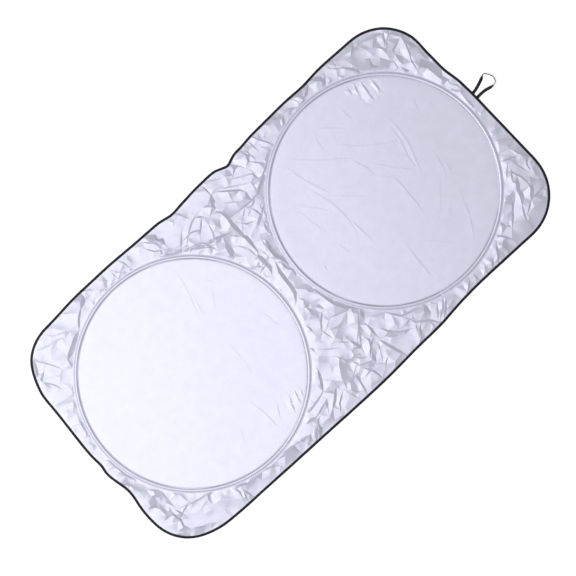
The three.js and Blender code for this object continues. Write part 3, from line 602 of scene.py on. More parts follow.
class Crumple:
    """Points and creases of the cloth, to be joined up into facets, in metres."""

    # Size of the cells in which the points are kept, so that near ones are found fast
    CELL = 8 * MM
    # Rings of points on each disc: how deep inside its edge, in millimetres, and how many points
    DISC_RINGS = (
        (0, 300),
        (5, 150),
        (10, 150),
        (13.5, 150),
        (18, 150),
        (30, 120),
        (45, 90),
        (62, 72),
        (85, 60),
    )
    # Spacing of the points along the rim, and how far inside it a second line of them is, in millimetres
    RIM_STEP = 4.5
    RIM_INSET = 7
    # How far from the sheet's middle its calmer ends begin, and the share of small folds kept there
    END_START = 0.26
    END_SHARE = 0.3
    # Room that a small fold's middle or a loose facet's corner needs round it
    ROOM = 7.5 * MM
    # Longest step along a fold, and the most that a fold rises
    LONGEST_STEP = 14 * MM
    HIGHEST_RISE = 5 * MM
    # Where the crest and the foot of a fold are across it, and how much of its rise each has
    CREST = (-0.5, 0.8)
    FOOT = (0.5, -0.2)
    # Share of its width and height that a fold still has at its ends, and how soon it swells from there
    END_TAPER = 0.25
    SWELL = 5.2
    # Points nearer than this, in millimetres, become one
    WELD = 0.3
    # How near a crossing has to be to a crease to lie on it
    ON_CREASE = 0.05 * MM

    def __init__(self, form, stage, settings):
        self.form, self.settings = form, settings
        self.frame = picture_frame(stage)
        self.chance = random.Random(11)
        self.places = []
        self.creases = []
        self.cells = {}

    def add(self, x, y, z):
        self.places.append(Vector((x, y, z)))
        cell = math.floor(x / self.CELL), math.floor(y / self.CELL)
        self.cells.setdefault(cell, []).append((x, y))
        return len(self.places) - 1

    def is_clear(self, x, y, distance):
        """Whether no point so far is as near as the distance, which is one cell at the most."""
        column, row = math.floor(x / self.CELL), math.floor(y / self.CELL)
        for near_column in (column - 1, column, column + 1):
            for near_row in (row - 1, row, row + 1):
                for other_x, other_y in self.cells.get((near_column, near_row), ()):
                    if math.hypot(x - other_x, y - other_y) < distance:
                        return False
        return True

    def base(self, x, y):
        """Height of the cloth without its picked folds."""
        top = self.form.base_top(x, y)
        if self.form.off_disc(x, y) <= 0:
            return top + self.form.disc_lift(x, y)
        loose = self.form.looseness(x, y)
        return top + loose * (1.0 * MM - self.settings.fold_ease * (top - SHEET_LOW.z))

    def add_discs(self):
        """Rings of points from under each tape inwards, and a few points on the flat of the disc."""
        for hoop in self.form.hoops.values():
            for depth, count in self.DISC_RINGS:
                reach = self.form.taut_radius - depth * MM
                for number in range(count):
                    angle = math.tau * number / count
                    x, y = hoop.x + reach * math.cos(angle), hoop.y + reach * math.sin(angle)
                    self.add(x, y, self.base(x, y))

    def add_rim(self):
        """The rim and a line beside it, both inside the binding."""
        first = len(self.places)
        places = rim_places(self.form, self.RIM_STEP * MM)
        for point, inward, height in places:
            self.add(point.x, point.y, height)
        for point, inward, height in places:
            inner = point + inward * self.RIM_INSET * MM
            self.add(inner.x, inner.y, height)
        for number in range(len(places)):
            self.creases.append((first + number, first + (number + 1) % len(places)))

    def add_picked_fold(self, steepness, width, *flat, loose=True):
        """One row of the fold tables, brought from the picture to the ground."""
        centre, right, up, pixel = self.frame
        half = PICTURE_SIZE / 2
        line = []
        for x, y in zip(flat[::2], flat[1::2]):
            line.append((centre + right * (x - half) * pixel + up * (half - y) * pixel).to_2d())
        self.add_fold(steepness, width * pixel, line, loose)

    def add_small_folds(self, tries):
        """Short folds, each its own way, where the picked ones leave room."""
        for _ in range(tries):
            x = self.chance.uniform(SHEET_LOW.x, SHEET_HIGH.x)
            y = self.chance.uniform(SHEET_LOW.y, SHEET_HIGH.y)
            heading = self.chance.uniform(0, math.tau)
            half = self.chance.uniform(10, 34) * MM
            bow = self.chance.uniform(-0.3, 0.3) * half
            steepness, flank = self.chance.uniform(1.0, 2.6), self.chance.uniform(3.5, 6.5) * MM
            at_end = abs(x - SHEET_MIDDLE.x) > self.END_START
            if at_end and self.chance.random() > self.END_SHARE:
                continue
            if self.form.off_disc(x, y) < 6 * MM or self.form.off_rim(x, y) < 13 * MM:
                continue
            if self.is_clear(x, y, self.ROOM):
                middle, along = Vector((x, y)), Vector((math.cos(heading), math.sin(heading)))
                across = Vector((-along.y, along.x))
                line = [middle - along * half, middle + across * bow, middle + along * half]
                self.add_fold(steepness, flank, line, True)

    def add_fold(self, steepness, flank, line, loose):
        """A steep side between a crest and a foot, which come together at the fold's ends."""
        line = self.split_long(line, self.LONGEST_STEP)
        last = len(line) - 1
        sides = []
        for index in range(last + 1):
            along = (line[min(index + 1, last)] - line[max(index - 1, 0)]).normalized()
            sides.append(Vector((along.y, -along.x)))
        if sum(side.x for side in sides) < 0:
            sides = [-side for side in sides]
        slope = self.settings.fold_slope if loose else self.settings.disc_slope
        rise = min(slope * steepness * flank, self.HIGHEST_RISE)
        for share, lift in (self.CREST, self.FOOT):
            before = None
            for index, (middle, side) in enumerate(zip(line, sides)):
                along = index / last
                swell = min(self.SWELL * along * (1 - along), 1.0)
                taper = self.END_TAPER + (1 - self.END_TAPER) * swell
                place = middle + side * share * flank * taper
                here = self.add_crease_point(place, rise * lift * taper, loose)
                if before is not None and here is not None:
                    self.creases.append((before, here))
                before = here

    @staticmethod
    def split_long(line, longest):
        """The line with more points on it, none much further apart than the longest step."""
        split = [line[0]]
        for before, after in zip(line, line[1:]):
            parts = max(1, round((after - before).length / longest))
            split += [before.lerp(after, part / parts) for part in range(1, parts + 1)]
        return split

    def add_crease_point(self, place, lift, loose):
        """A point of a crease, or nothing where the fold runs off its own part of the cloth."""
        off_disc, off_rim = self.form.off_disc(place.x, place.y), self.form.off_rim(place.x, place.y)
        if loose and (off_disc < 2 * MM or off_rim < 9 * MM):
            return None
        if not loose and off_disc > -15 * MM:
            return None
        return self.add(place.x, place.y, self.base(place.x, place.y) + lift)

    def scatter(self, spacing, lowest_off_disc, highest_off_disc, clearance, wave):
        """Points on a shaken grid where there is room between the others."""
        row_height = spacing * TRIANGLE_HEIGHT
        size = SHEET_HIGH - SHEET_LOW
        for row in range(math.ceil(size.y / row_height)):
            for column in range(math.ceil(size.x / spacing)):
                x = SHEET_LOW.x + (column + (row % 2) / 2 + self.chance.uniform(-0.3, 0.3)) * spacing
                y = SHEET_LOW.y + (row + self.chance.uniform(-0.3, 0.3)) * row_height
                lift = self.chance.uniform(-wave, wave)
                if not lowest_off_disc < self.form.off_disc(x, y) < highest_off_disc:
                    continue
                if self.form.off_rim(x, y) > 11 * MM and self.is_clear(x, y, clearance):
                    self.add(x, y, self.base(x, y) + lift)

    def mesh(self):
        """The points joined up with triangles that keep to the creases."""
        flat = [Vector((place.x, place.y)) / MM for place in self.places]
        points, _, faces, origins, _, _ = delaunay_2d_cdt(flat, self.creases, [], 0, self.WELD, True)
        cloth = bmesh.new()
        corners = []
        for point, origin in zip(points, origins):
            if origin:
                height = sum(self.places[index].z for index in origin) / len(origin)
            else:
                height = self.crossing_height(point)
            corners.append(cloth.verts.new((point.x * MM, point.y * MM, height)))
        for face in faces:
            middle = sum((points[index] for index in face), Vector((0, 0))) / len(face) * MM
            if self.form.off_rim(middle.x, middle.y) > -0.1 * MM:
                cloth.faces.new([corners[index] for index in face])
        loners = [corner for corner in cloth.verts if not corner.link_faces]
        bmesh.ops.delete(cloth, geom=loners, context="VERTS")
        return cloth

    def crossing_height(self, point):
        """Height where two creases cross, from their ends."""
        place = point * MM
        heights = []
        for start, end in self.creases:
            first, second = self.places[start].to_2d(), self.places[end].to_2d()
            along = second - first
            share = (place - first).dot(along) / max(along.length_squared, 1e-12)
            if 0 <= share <= 1 and (first + along * share - place).length < self.ON_CREASE:
                heights.append(self.places[start].z * (1 - share) + self.places[end].z * share)
        return sum(heights) / len(heights) if heights else self.base(place.x, place.y)


class SUNSHADE_OT_sheet(Operator):
    """Make the silver cloth, crumpled round the hoops and taut inside them"""

    bl_idname = "sunshade.sheet"
    bl_label = "Silver cloth"

    def execute(self, context):
        settings = context.scene.sunshade_sheet
        form = ClothForm()
        crumple = Crumple(form, context.scene.sunshade_stage, settings)
        crumple.add_discs()
        crumple.add_rim()
        for fold in LOOSE_FOLDS:
            crumple.add_picked_fold(*fold)
        for fold in DISC_FOLDS:
            crumple.add_picked_fold(*fold, loose=False)
        crumple.add_small_folds(settings.small_folds)
        # Beside the tapes, in the loose cloth, and on the discs
        crumple.scatter(13 * MM, 4 * MM, 9 * MM, 5 * MM, 0.8 * settings.crumple)
        crumple.scatter(settings.facet, 6 * MM, math.inf, crumple.ROOM, settings.crumple)
        crumple.scatter(26 * MM, -math.inf, -70 * MM, 8 * MM, 0.0)
        cloth = crumple.mesh()
        self.ease_slopes(cloth, form, settings.steepest)
        self.mark_creases(cloth, form)
        piece = finish_piece(cloth, "silver_cloth", silver_material(settings, with_crumple_shade=True))
        rounding = piece.modifiers.new("Soft facets", "SUBSURF")
        rounding.levels = rounding.render_levels = 1
        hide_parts("sheet")
        return {"FINISHED"}

    @staticmethod
    def ease_slopes(cloth, form, steepest):
        """Eases each edge that is too steep, and keeps the cloth off the ground."""
        rounds = 12
        lowest = SHEET_LOW.z + 0.35 * MM
        free = {}
        for corner in cloth.verts:
            off_disc = form.off_disc(corner.co.x, corner.co.y)
            free[corner] = off_disc > 1 * MM and form.off_rim(corner.co.x, corner.co.y) > 8 * MM
        for _ in range(rounds):
            for edge in cloth.edges:
                lower, upper = sorted(edge.verts, key=lambda corner: corner.co.z)
                run = (upper.co.to_2d() - lower.co.to_2d()).length
                excess = upper.co.z - lower.co.z - steepest * run
                if excess > 0 and (free[lower] or free[upper]):
                    both = free[lower] and free[upper]
                    if free[upper]:
                        upper.co.z -= excess / 2 if both else excess
                    if free[lower]:
                        lower.co.z += excess / 2 if both else excess
        for corner in cloth.verts:
            corner.co.z = max(corner.co.z, lowest)

    @staticmethod
    def mark_creases(cloth, form):
        """Keeps the cloth sharp where it is creased, and notes where it is loose, for the painted shade
        there.
        """
        # Bends, in degrees, from which an edge is sharp, and how much of its crease a valley keeps
        sharp_ridge, sharp_valley, sharp_on_disc = 6, 15, 1.5
        valley_share = 0.8
        turn_faces_up(cloth)
        crease = cloth.edges.layers.float.new("crease_edge")
        loose = cloth.verts.layers.float.new("loose")
        for edge in cloth.edges:
            middle = (edge.verts[0].co + edge.verts[1].co) / 2
            off_disc = form.off_disc(middle.x, middle.y)
            bend = math.degrees(edge.calc_face_angle(0.0))
            if off_disc > 0:
                outwards = edge.calc_face_angle_signed(0.0) > 0
                edge[crease] = smoothstep(bend, 3, 12) * (1.0 if outwards else valley_share)
                edge.smooth = bend < (sharp_ridge if outwards else sharp_valley)
            elif off_disc < -17 * MM:
                edge[crease] = smoothstep(bend, 0.8, 2)
                edge.smooth = bend < sharp_on_disc
        for corner in cloth.verts:
            corner[loose] = form.looseness(corner.co.x, corner.co.y)


def tape_profile():
    """Cross-section of a hoop's tape as distance from the wire's middle line and height, in metres."""
    flat = TAPE_SEAT + 0.35 * MM
    lifted = flat + 1.05 * MM
    top = WIRE_TOP + 0.4 * MM
    return (
        (-7.0 * MM, lifted - 0.35 * MM),
        (-6.9 * MM, lifted),
        (-5.6 * MM, lifted + 0.1 * MM),
        (INNER_SEAM, lifted - 0.15 * MM),
        (-3.6 * MM, lifted + 0.35 * MM),
        (-2.2 * MM, top - 0.6 * MM),
        (-1.0 * MM, top - 0.05 * MM),
        (0.8 * MM, top),
        (1.8 * MM, top - 0.5 * MM),
        (2.9 * MM, flat + 1.2 * MM),
        (3.9 * MM, flat + 0.25 * MM),
        (OUTER_SEAM, flat - 0.1 * MM),
        (5.8 * MM, flat + 0.1 * MM),
        (7.3 * MM, flat),
        (TAPE_EDGE, flat - 0.25 * MM),
    )


class SUNSHADE_OT_hoops(Operator):
    """Make the tape sewn over each hoop's wire, with its two seams of stitches"""

    bl_idname = "sunshade.hoops"
    bl_label = "Hoop tapes"

    def execute(self, context):
        settings = context.scene.sunshade_hoops
        # The tape's silver is painted 2 % lighter than the cloth's, a painted highlight on the raised band
        cloth = silver_material(context.scene.sunshade_sheet, "silver_tape", 1.02, with_seam_shade=True)
        thread = thread_material("hoop_thread", settings.thread_colour)
        steel = steel_material("spring_steel", (0.30, 0.31, 0.33), 0.32)
        zinc = steel_material("crimp_steel", (0.55, 0.55, 0.57), 0.28)
        for side in SIDES:
            low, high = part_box(f"{side}_hoop_tape")
            middle = (low + high) / 2
            radius = (high.x - low.x) / 2 - TAPE_EDGE
            self.make_tape(side, middle, radius, settings, cloth)
            self.make_stitches(side, middle, radius, settings, thread)
            for node, metal in ((f"{side}_hoop_wire", steel), (f"{side}_hoop_ferrule", zinc)):
                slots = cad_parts[node].data.materials
                slots.clear()
                slots.append(metal)
        return {"FINISHED"}

    @staticmethod
    def make_tape(side, middle, radius, settings, material):
        join = math.radians(TAPE_JOINS[side])
        turn = math.tau * (360 + TAPE_LAP) / 360
        steps = round(settings.steps * (360 + TAPE_LAP) / 360)
        tape = bmesh.new()
        start = [tape.verts.new((radius + across, 0.0, height)) for across, height in tape_profile()]
        edges = [tape.edges.new(pair) for pair in zip(start, start[1:])]
        bmesh.ops.rotate(tape, verts=start, cent=(0, 0, 0), matrix=Matrix.Rotation(join, 3, "Z"))
        swept = bmesh.ops.spin(
            tape,
            geom=start + edges,
            cent=(0, 0, 0),
            axis=(0, 0, 1),
            angle=-turn,
            steps=steps,
            use_merge=False,
        )
        for corner in tape.verts:
            bearing = math.atan2(corner.co.y, corner.co.x)
            across = math.hypot(corner.co.x, corner.co.y) - radius
            at = Vector((bearing * radius / (7 * MM), across / (9 * MM), PUCKER_SEEDS[side]))
            pucker = noise.noise(at) * PUCKER * smoothstep(abs(across), 1.2 * MM, 3.5 * MM)
            corner.co.z += clip_lift(side, middle, bearing, across) + abs(pucker)
            corner.co.x += math.cos(bearing) * pucker
            corner.co.y += math.sin(bearing) * pucker
        lift_lap(tape, swept["geom_last"], steps - settings.steps)
        bmesh.ops.translate(tape, verts=tape.verts, vec=(middle.x, middle.y, 0.0))
        turn_faces_up(tape)
        # How much painted shade each corner takes, along the grooves of the two seams
        painted_seam_shade = tape.verts.layers.float.new("painted_seam_shade")
        for corner in tape.verts:
            across = math.hypot(corner.co.x - middle.x, corner.co.y - middle.y) - radius
            line, shade_darkness, spread, seed = SEAM_SHADE_LOOKS["inner" if across < 0 else "outer"]
            shown = smoothstep(noise.noise(corner.co * 9 + Vector((0.0, 0.0, seed))), -0.45, 0.25)
            corner[painted_seam_shade] = shade_darkness * (1 - smoothstep(abs(across - line), 0.5 * MM, spread)) * shown
        piece = finish_piece(tape, f"{side}_tape", material)
        wall = piece.modifiers.new("Tape thickness", "SOLIDIFY")
        wall.thickness = 0.25 * MM
        wall.offset = -1.0
        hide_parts(f"{side}_hoop_tape")

    @staticmethod
    def make_stitches(side, middle, radius, settings, material):
        rows = bmesh.new()
        for across, height in ((OUTER_SEAM, TAPE_SEAT + 0.4 * MM), (INNER_SEAM, TAPE_SEAT + 1.4 * MM)):
            reach = radius + across
            count = round(math.tau * reach / settings.stitch_pitch)
            for number in range(count):
                add_stitch(rows, middle, reach, math.tau * number / count, height, settings)
        finish_piece(rows, f"{side}_tape_stitches", material)


def clip_lift(side, middle, bearing, across):
    """How far the tape is raised where it passes over the clip on the wire's ends."""
    clip = box_middle(f"{side}_hoop_ferrule") - middle
    turn = (bearing - math.atan2(clip.y, clip.x) + math.pi) % math.tau - math.pi
    along = abs(turn) * math.hypot(clip.x, clip.y)
    raised = CLIP_TOP - WIRE_TOP + 0.1 * MM
    off_clip = smoothstep(along, 13 * MM, 19 * MM)
    off_crown = smoothstep(abs(across), 1.8 * MM, 4.5 * MM)
    return raised * (1 - off_clip) * (1 - off_crown)


def lift_lap(tape, last, steps):
    """Raises the tape's last few steps so that they lie over its first ones."""
    reached = {corner for corner in last if isinstance(corner, bmesh.types.BMVert)}
    lifted = set(reached)
    for _ in range(steps):
        reached = {edge.other_vert(corner) for corner in reached for edge in corner.link_edges} - lifted
        lifted |= reached
    for corner in lifted:
        corner.co.z += LAP_LIFT


def add_stitch(rows, middle, reach, bearing, height, settings):
    """One stitch that lies along a round seam."""
    place = Matrix.Translation((middle.x, middle.y, height)) @ Matrix.Rotation(bearing, 4, "Z")
    shape = Matrix.Diagonal((settings.thread, settings.stitch_length, settings.thread * 0.7, 1.0))
    bmesh.ops.create_cube(rows, size=1.0, matrix=place @ Matrix.Translation((reach, 0.0, 0.0)) @ shape)


def rim_places(form, step):
    """Points along the rim, evenly spaced, each with the direction towards the inside and a height."""
    count = 4 * form.steps
    raw = []
    for number in range(count):
        angle = math.tau * number / count
        reach = form.rim_reach(angle)
        x = SHEET_MIDDLE.x + reach * math.cos(angle)
        y = SHEET_MIDDLE.y + reach * math.sin(angle)
        raw.append(Vector((x, y)))
    lengths = [0.0]
    for before, after in zip(raw, raw[1:] + raw[:1]):
        lengths.append(lengths[-1] + (after - before).length)
    wanted = round(lengths[-1] / step)
    points, at = [], 0
    for number in range(wanted):
        target = lengths[-1] * number / wanted
        while lengths[at + 1] < target:
            at += 1
        share = (target - lengths[at]) / (lengths[at + 1] - lengths[at])
        points.append(raw[at].lerp(raw[(at + 1) % count], share))
    for _ in range(3):
        points = [
            (points[index - 1] + points[index] * 2 + points[(index + 1) % wanted]) / 4
            for index in range(wanted)
        ]
    places = []
    for index, point in enumerate(points):
        along = (points[(index + 1) % wanted] - points[index - 1]).normalized()
        inward = Vector((-along.y, along.x))
        inside = point + inward * 2 * MM
        places.append((point, inward, form.base_top(inside.x, inside.y)))
    return places


class SUNSHADE_OT_binding(Operator):
    """Make the black tape folded over the cloth's rim, with its row of stitches"""

    bl_idname = "sunshade.binding"
    bl_label = "Edge binding"

    # How far the folded tape's inner edge strays
    STRAY = 0.4 * MM
    # The row of stitches: its distance from the rim in millimetres, its height above the cloth, the
    # thickness of its thread and the share of each step that a stitch covers
    ROW_INSET = 4.2
    ROW_HEIGHT = 0.68 * MM
    THREAD = 0.4 * MM
    STITCH_SHARE = 0.68

    def execute(self, context):
        settings = context.scene.sunshade_binding
        form = ClothForm()
        places = rim_places(form, settings.step)
        profile = self.profile(settings, context.scene.sunshade_sheet.thickness)

        def place(column, row):
            point, inward, height = places[column]
            across, up = profile[row]
            stray = self.STRAY * noise.noise(Vector((column * 0.11, 0.0, 4.0)))
            at = point + inward * (across + (stray if across > 3 * MM else 0.0))
            return Vector((at.x, at.y, height + up))

        band = grid_band(len(places), len(profile), place, round_columns=True, round_rows=True)
        bmesh.ops.recalc_face_normals(band, faces=band.faces)
        material = woven_black("black_tape", settings.colour, settings.roughness, 0.9)
        piece = finish_piece(band, "edge_tape", material)
        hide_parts("edge_binding")
        self.make_stitches(places)
        return {"FINISHED"}

    @staticmethod
    def profile(settings, cloth):
        """Outline of the folded tape: distance inwards from the rim and height from the cloth's top."""
        wall, width = settings.thickness, settings.width
        gap = 0.1 * MM
        top, bottom = gap + wall, -cloth - gap - wall
        middle = (top + bottom) / 2
        return (
            (width - 0.7 * MM, top),
            (width * 0.6, top + 0.08 * MM),
            (width * 0.25, top),
            (-0.3 * MM, top - 0.12 * MM),
            (-0.7 * MM, middle),
            (-0.3 * MM, bottom + 0.12 * MM),
            (width * 0.4, bottom),
            (width - 0.7 * MM, bottom),
            (width - 0.6 * MM, bottom + wall),
            (0.1 * MM, bottom + wall),
            (0.0, middle),
            (0.1 * MM, top - wall),
            (width - 0.6 * MM, top - wall),
        )

    def make_stitches(self, places):
        rows = bmesh.new()
        for (point, inward, height), (after, _, height_after) in zip(places, places[1:]):
            start = Vector((*(point + inward * self.ROW_INSET * MM), height + self.ROW_HEIGHT))
            end = Vector((*(after + inward * self.ROW_INSET * MM), height_after + self.ROW_HEIGHT))
            along = end - start
            turn = along.to_track_quat("Y", "Z").to_matrix().to_4x4()
            shape = Matrix.Diagonal((self.THREAD, along.length * self.STITCH_SHARE, self.THREAD * 0.6, 1.0))
            matrix = Matrix.Translation((start + end) / 2) @ turn @ shape
            bmesh.ops.create_cube(rows, size=1.0, matrix=matrix)
        material = thread_material("edge_thread", (0.03, 0.03, 0.035))
        finish_piece(rows, "edge_stitches", material)


# How far the elastic loop stands out past the end of the binding, the steps along it, and the
# shares of its length, from either sewn end, over which it turns from flat onto its edge
LOOP_REACH = 66.6 * MM
LOOP_STEPS = 110
LOOP_TURN = (0.23, 0.37)

# Route of the elastic loop's middle line from one sewn end to the other, in millimetres:
# how far past the end of the binding, and how far up the sheet from its long middle line
LOOP_ROUTE = (
    (-5, 26),
    (6, 27),
    (18, 30),
    (38, 37),
    (53, 44),
    (60, 36),
    (66, 24),
    (65, 12),
    (58, 5),
    (44, 5),
    (27, 9),
    (9, 10),
    (-5, 9),
)


def smooth_route(points, steps):
    """Even points along a smooth curve through the given ones, with the direction at each."""
    parts = 24
    dense = []
    padded = [points[0] * 2 - points[1], *points, points[-1] * 2 - points[-2]]
    for a, b, c, d in zip(padded, padded[1:], padded[2:], padded[3:]):
        for number in range(parts):
            t = number / parts
            square, cube = 2 * a - 5 * b + 4 * c - d, 3 * b - a - 3 * c + d
            dense.append(0.5 * (2 * b + (c - a) * t + square * t * t + cube * t ** 3))
    dense.append(points[-1])
    lengths = [0.0]
    for before, after in zip(dense, dense[1:]):
        lengths.append(lengths[-1] + (after - before).length)
    even, at = [], 0
    for number in range(steps + 1):
        target = lengths[-1] * number / steps
        while at < len(dense) - 2 and lengths[at + 1] < target:
            at += 1
        share = (target - lengths[at]) / (lengths[at + 1] - lengths[at])
        even.append(dense[at].lerp(dense[at + 1], share))
    directions = [
        (even[min(index + 1, steps)] - even[max(index - 1, 0)]).normalized() for index in range(steps + 1)
    ]
    return even, directions


class SUNSHADE_OT_elastic_loop(Operator):
    """Make the elastic loop that straps the folded shade shut"""

    bl_idname = "sunshade.elastic_loop"
    bl_label = "Elastic loop"

    def execute(self, context):
        settings = context.scene.sunshade_loop
        low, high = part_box("elastic_loop")
        hoop_low, hoop_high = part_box("right_hoop_tape")
        middle_y = (hoop_low.y + hoop_high.y) / 2
        end_x = high.x - LOOP_REACH
        points = [Vector((end_x + x * MM, middle_y + y * MM, 0.0)) for x, y in LOOP_ROUTE]
        route, directions = smooth_route(points, LOOP_STEPS)
        half, wall = settings.width / 2, settings.thickness / 2
        profile = self.profile(half, wall)

        def place(column, row):
            share = column / LOOP_STEPS
            along = directions[column]
            sideways = Vector((-along.y, along.x, 0.0))
            turn = smoothstep(min(share, 1 - share), *LOOP_TURN) * math.pi / 2
            across_strap = sideways * math.cos(turn) + Vector((0, 0, math.sin(turn)))
            through_strap = Vector((0, 0, math.cos(turn))) - sideways * math.sin(turn)
            across, through = profile[row]
            height = low.z + half * math.sin(turn) + wall * math.cos(turn)
            return route[column] + Vector((0, 0, height)) + across_strap * across + through_strap * through

        strap = grid_band(LOOP_STEPS, len(profile), place, round_rows=True)
        bmesh.ops.holes_fill(strap, edges=strap.edges, sides=0)
        bmesh.ops.recalc_face_normals(strap, faces=strap.faces)
        material = woven_black("black_elastic", settings.colour, 0.75, 1.6)
        piece = finish_piece(strap, "elastic_strap", material)
        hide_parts("elastic_loop")
        return {"FINISHED"}

    @staticmethod
    def profile(half, wall):
        """Outline of the ribbed elastic, across and through."""
        ribs = 5
        groove = 0.82
        upper = []
        for number in range(2 * ribs + 1):
            across = half * (1 - number / ribs)
            upper.append((across, wall * (groove if number % 2 == 0 else 1.0)))
        lower = [(-across, -through) for across, through in upper]
        return tuple(upper + lower)


def new_material(name):
    material = bpy.data.materials.new(name)
    material.use_nodes = True
    nodes, links = material.node_tree.nodes, material.node_tree.links
    return material, nodes, links, nodes["Principled BSDF"]


def weave_height(nodes, links, place, thread_size):
    """Height of a plain weave with threads of one size, from its two crossing sets."""
    sets = []
    for direction in ("X", "Y"):
        threads = nodes.new("ShaderNodeTexWave")
        threads.bands_direction = direction
        threads.inputs["Scale"].default_value = 0.314 / thread_size
        threads.inputs["Distortion"].default_value = 0.4
        links.new(place, threads.inputs["Vector"])
        sets.append(threads.outputs["Fac"])
    both = nodes.new("ShaderNodeMath")
    both.operation = "MULTIPLY"
    links.new(sets[0], both.inputs[0])
    links.new(sets[1], both.inputs[1])
    return both.outputs[0]


def noise_value(nodes, links, place, scale, detail):
    texture = nodes.new("ShaderNodeTexNoise")
    texture.inputs["Scale"].default_value = scale
    texture.inputs["Detail"].default_value = detail
    links.new(place, texture.inputs["Vector"])
    return texture.outputs["Fac"]


def two_tones(nodes, links, pattern, dark, dark_until, light, light_from):
    """A colour that goes from a dark tone to a light one as a pattern rises."""
    ramp = nodes.new("ShaderNodeValToRGB")
    for stop, tone, position in zip(ramp.color_ramp.elements, (dark, light), (dark_until, light_from)):
        stop.position = position
        stop.color = (*tone, 1.0)
    links.new(pattern, ramp.inputs["Fac"])
    return ramp.outputs["Color"]


def relief(nodes, links, height, strength, depth, under=None):
    """The normals of a surface with a fine relief, laid over another relief where one is given."""
    bump = nodes.new("ShaderNodeBump")
    bump.inputs["Strength"].default_value = strength
    bump.inputs["Distance"].default_value = depth
    links.new(height, bump.inputs["Height"])
    if under is not None:
        links.new(under, bump.inputs["Normal"])
    return bump.outputs["Normal"]


def shade_where(nodes, links, surface, attribute_name, colour):
    """Another colour where a piece's attribute is 1."""
    attribute = nodes.new("ShaderNodeAttribute")
    attribute.attribute_name = attribute_name
    mix = nodes.new("ShaderNodeMix")
    mix.data_type = "RGBA"
    links.new(attribute.outputs["Fac"], mix.inputs["Factor"])
    links.new(surface, mix.inputs["A"])
    mix.inputs["B"].default_value = (*colour, 1.0)
    return mix.outputs["Result"]


def scaled(colour, share, more=0.0):
    return [channel * share + more for channel in colour]


def silver_material(settings, name="silver_cloth", lightness=1.0, with_seam_shade=False, with_crumple_shade=False):
    """Satin silver coating over a fine plain weave, mottled, with painted shade in a seam's groove and over
    crumpled cloth where asked.
    """
    material, nodes, links, shader = new_material(name)
    place = nodes.new("ShaderNodeTexCoord").outputs["Object"]
    colour = scaled(settings.colour, lightness)
    mottle = noise_value(nodes, links, place, scale=38.0, detail=5.0)
    surface = two_tones(
        nodes, links, mottle, dark=scaled(colour, 0.955), dark_until=0.3, light=colour, light_from=0.7
    )
    # Painted shade in the grooves and needle holes of the seams
    if with_seam_shade:
        surface = shade_where(nodes, links, surface, "painted_seam_shade", scaled(colour, 0.45))
    # Painted shade over the loose crumpled cloth, which is made darker than the taut discs
    if with_crumple_shade:
        surface = shade_where(nodes, links, surface, "loose", scaled(colour, 0.9))
    links.new(surface, shader.inputs["Base Color"])
    shader.inputs["Metallic"].default_value = settings.metal
    rough = nodes.new("ShaderNodeMapRange")
    rough.inputs["To Min"].default_value = settings.roughness - 0.04
    rough.inputs["To Max"].default_value = settings.roughness + 0.06
    links.new(noise_value(nodes, links, place, scale=160.0, detail=3.0), rough.inputs["Value"])
    links.new(rough.outputs["Result"], shader.inputs["Roughness"])
    wrinkles = noise_value(nodes, links, place, scale=120.0, detail=4.0)
    wrinkled = relief(nodes, links, wrinkles, strength=0.25, depth=0.6 * MM)
    weave = weave_height(nodes, links, place, thread_size=0.45 * MM)
    woven = relief(nodes, links, weave, strength=0.2, depth=0.05 * MM, under=wrinkled)
    links.new(woven, shader.inputs["Normal"])
    return material


def woven_black(name, colour, roughness, coarseness):
    """Woven black tape with a slight sheen and paler worn threads."""
    material, nodes, links, shader = new_material(name)
    place = nodes.new("ShaderNodeTexCoord").outputs["Object"]
    worn = scaled(colour, 2.2, more=0.004)
    wear = noise_value(nodes, links, place, scale=240.0, detail=4.0)
    surface = two_tones(nodes, links, wear, dark=colour, dark_until=0.35, light=worn, light_from=0.8)
    links.new(surface, shader.inputs["Base Color"])
    shader.inputs["Roughness"].default_value = roughness
    shader.inputs["Specular IOR Level"].default_value = 0.3
    shader.inputs["Sheen Weight"].default_value = 0.06
    shader.inputs["Sheen Roughness"].default_value = 0.4
    weave = weave_height(nodes, links, place, thread_size=coarseness * MM)
    woven = relief(nodes, links, weave, strength=0.5, depth=0.15 * MM)
    links.new(woven, shader.inputs["Normal"])
    return material


def thread_material(name, colour):
    """Twisted sewing thread."""
    material, nodes, links, shader = new_material(name)
    place = nodes.new("ShaderNodeTexCoord").outputs["Object"]
    shader.inputs["Base Color"].default_value = (*colour, 1.0)
    shader.inputs["Roughness"].default_value = 0.6
    twist = noise_value(nodes, links, place, scale=1500.0, detail=2.0)
    links.new(relief(nodes, links, twist, strength=0.4, depth=0.1 * MM), shader.inputs["Normal"])
    return material


def steel_material(name, colour, roughness):
    """Drawn spring steel, with faint drawing lines."""
    material, nodes, links, shader = new_material(name)
    place = nodes.new("ShaderNodeTexCoord").outputs["Object"]
    shader.inputs["Base Color"].default_value = (*colour, 1.0)
    shader.inputs["Metallic"].default_value = 1.0
    shader.inputs["Roughness"].default_value = roughness
    stretch = nodes.new("ShaderNodeMapping")
    stretch.inputs["Scale"].default_value = (1.0, 1.0, 30.0)
    links.new(place, stretch.inputs["Vector"])
    lines = noise_value(nodes, links, stretch.outputs["Vector"], scale=90.0, detail=3.0)
    links.new(relief(nodes, links, lines, strength=0.15, depth=0.05 * MM), shader.inputs["Normal"])
    return material


def show_to_camera(nodes, links, usual, shown, output):
    """One shader for all light, and another for what the camera sees straight."""
    path = nodes.new("ShaderNodeLightPath")
    mix = nodes.new("ShaderNodeMixShader")
    links.new(path.outputs["Is Camera Ray"], mix.inputs["Fac"])
    links.new(usual, mix.inputs[1])
    links.new(shown, mix.inputs[2])
    links.new(mix.outputs["Shader"], nodes[output].inputs["Surface"])


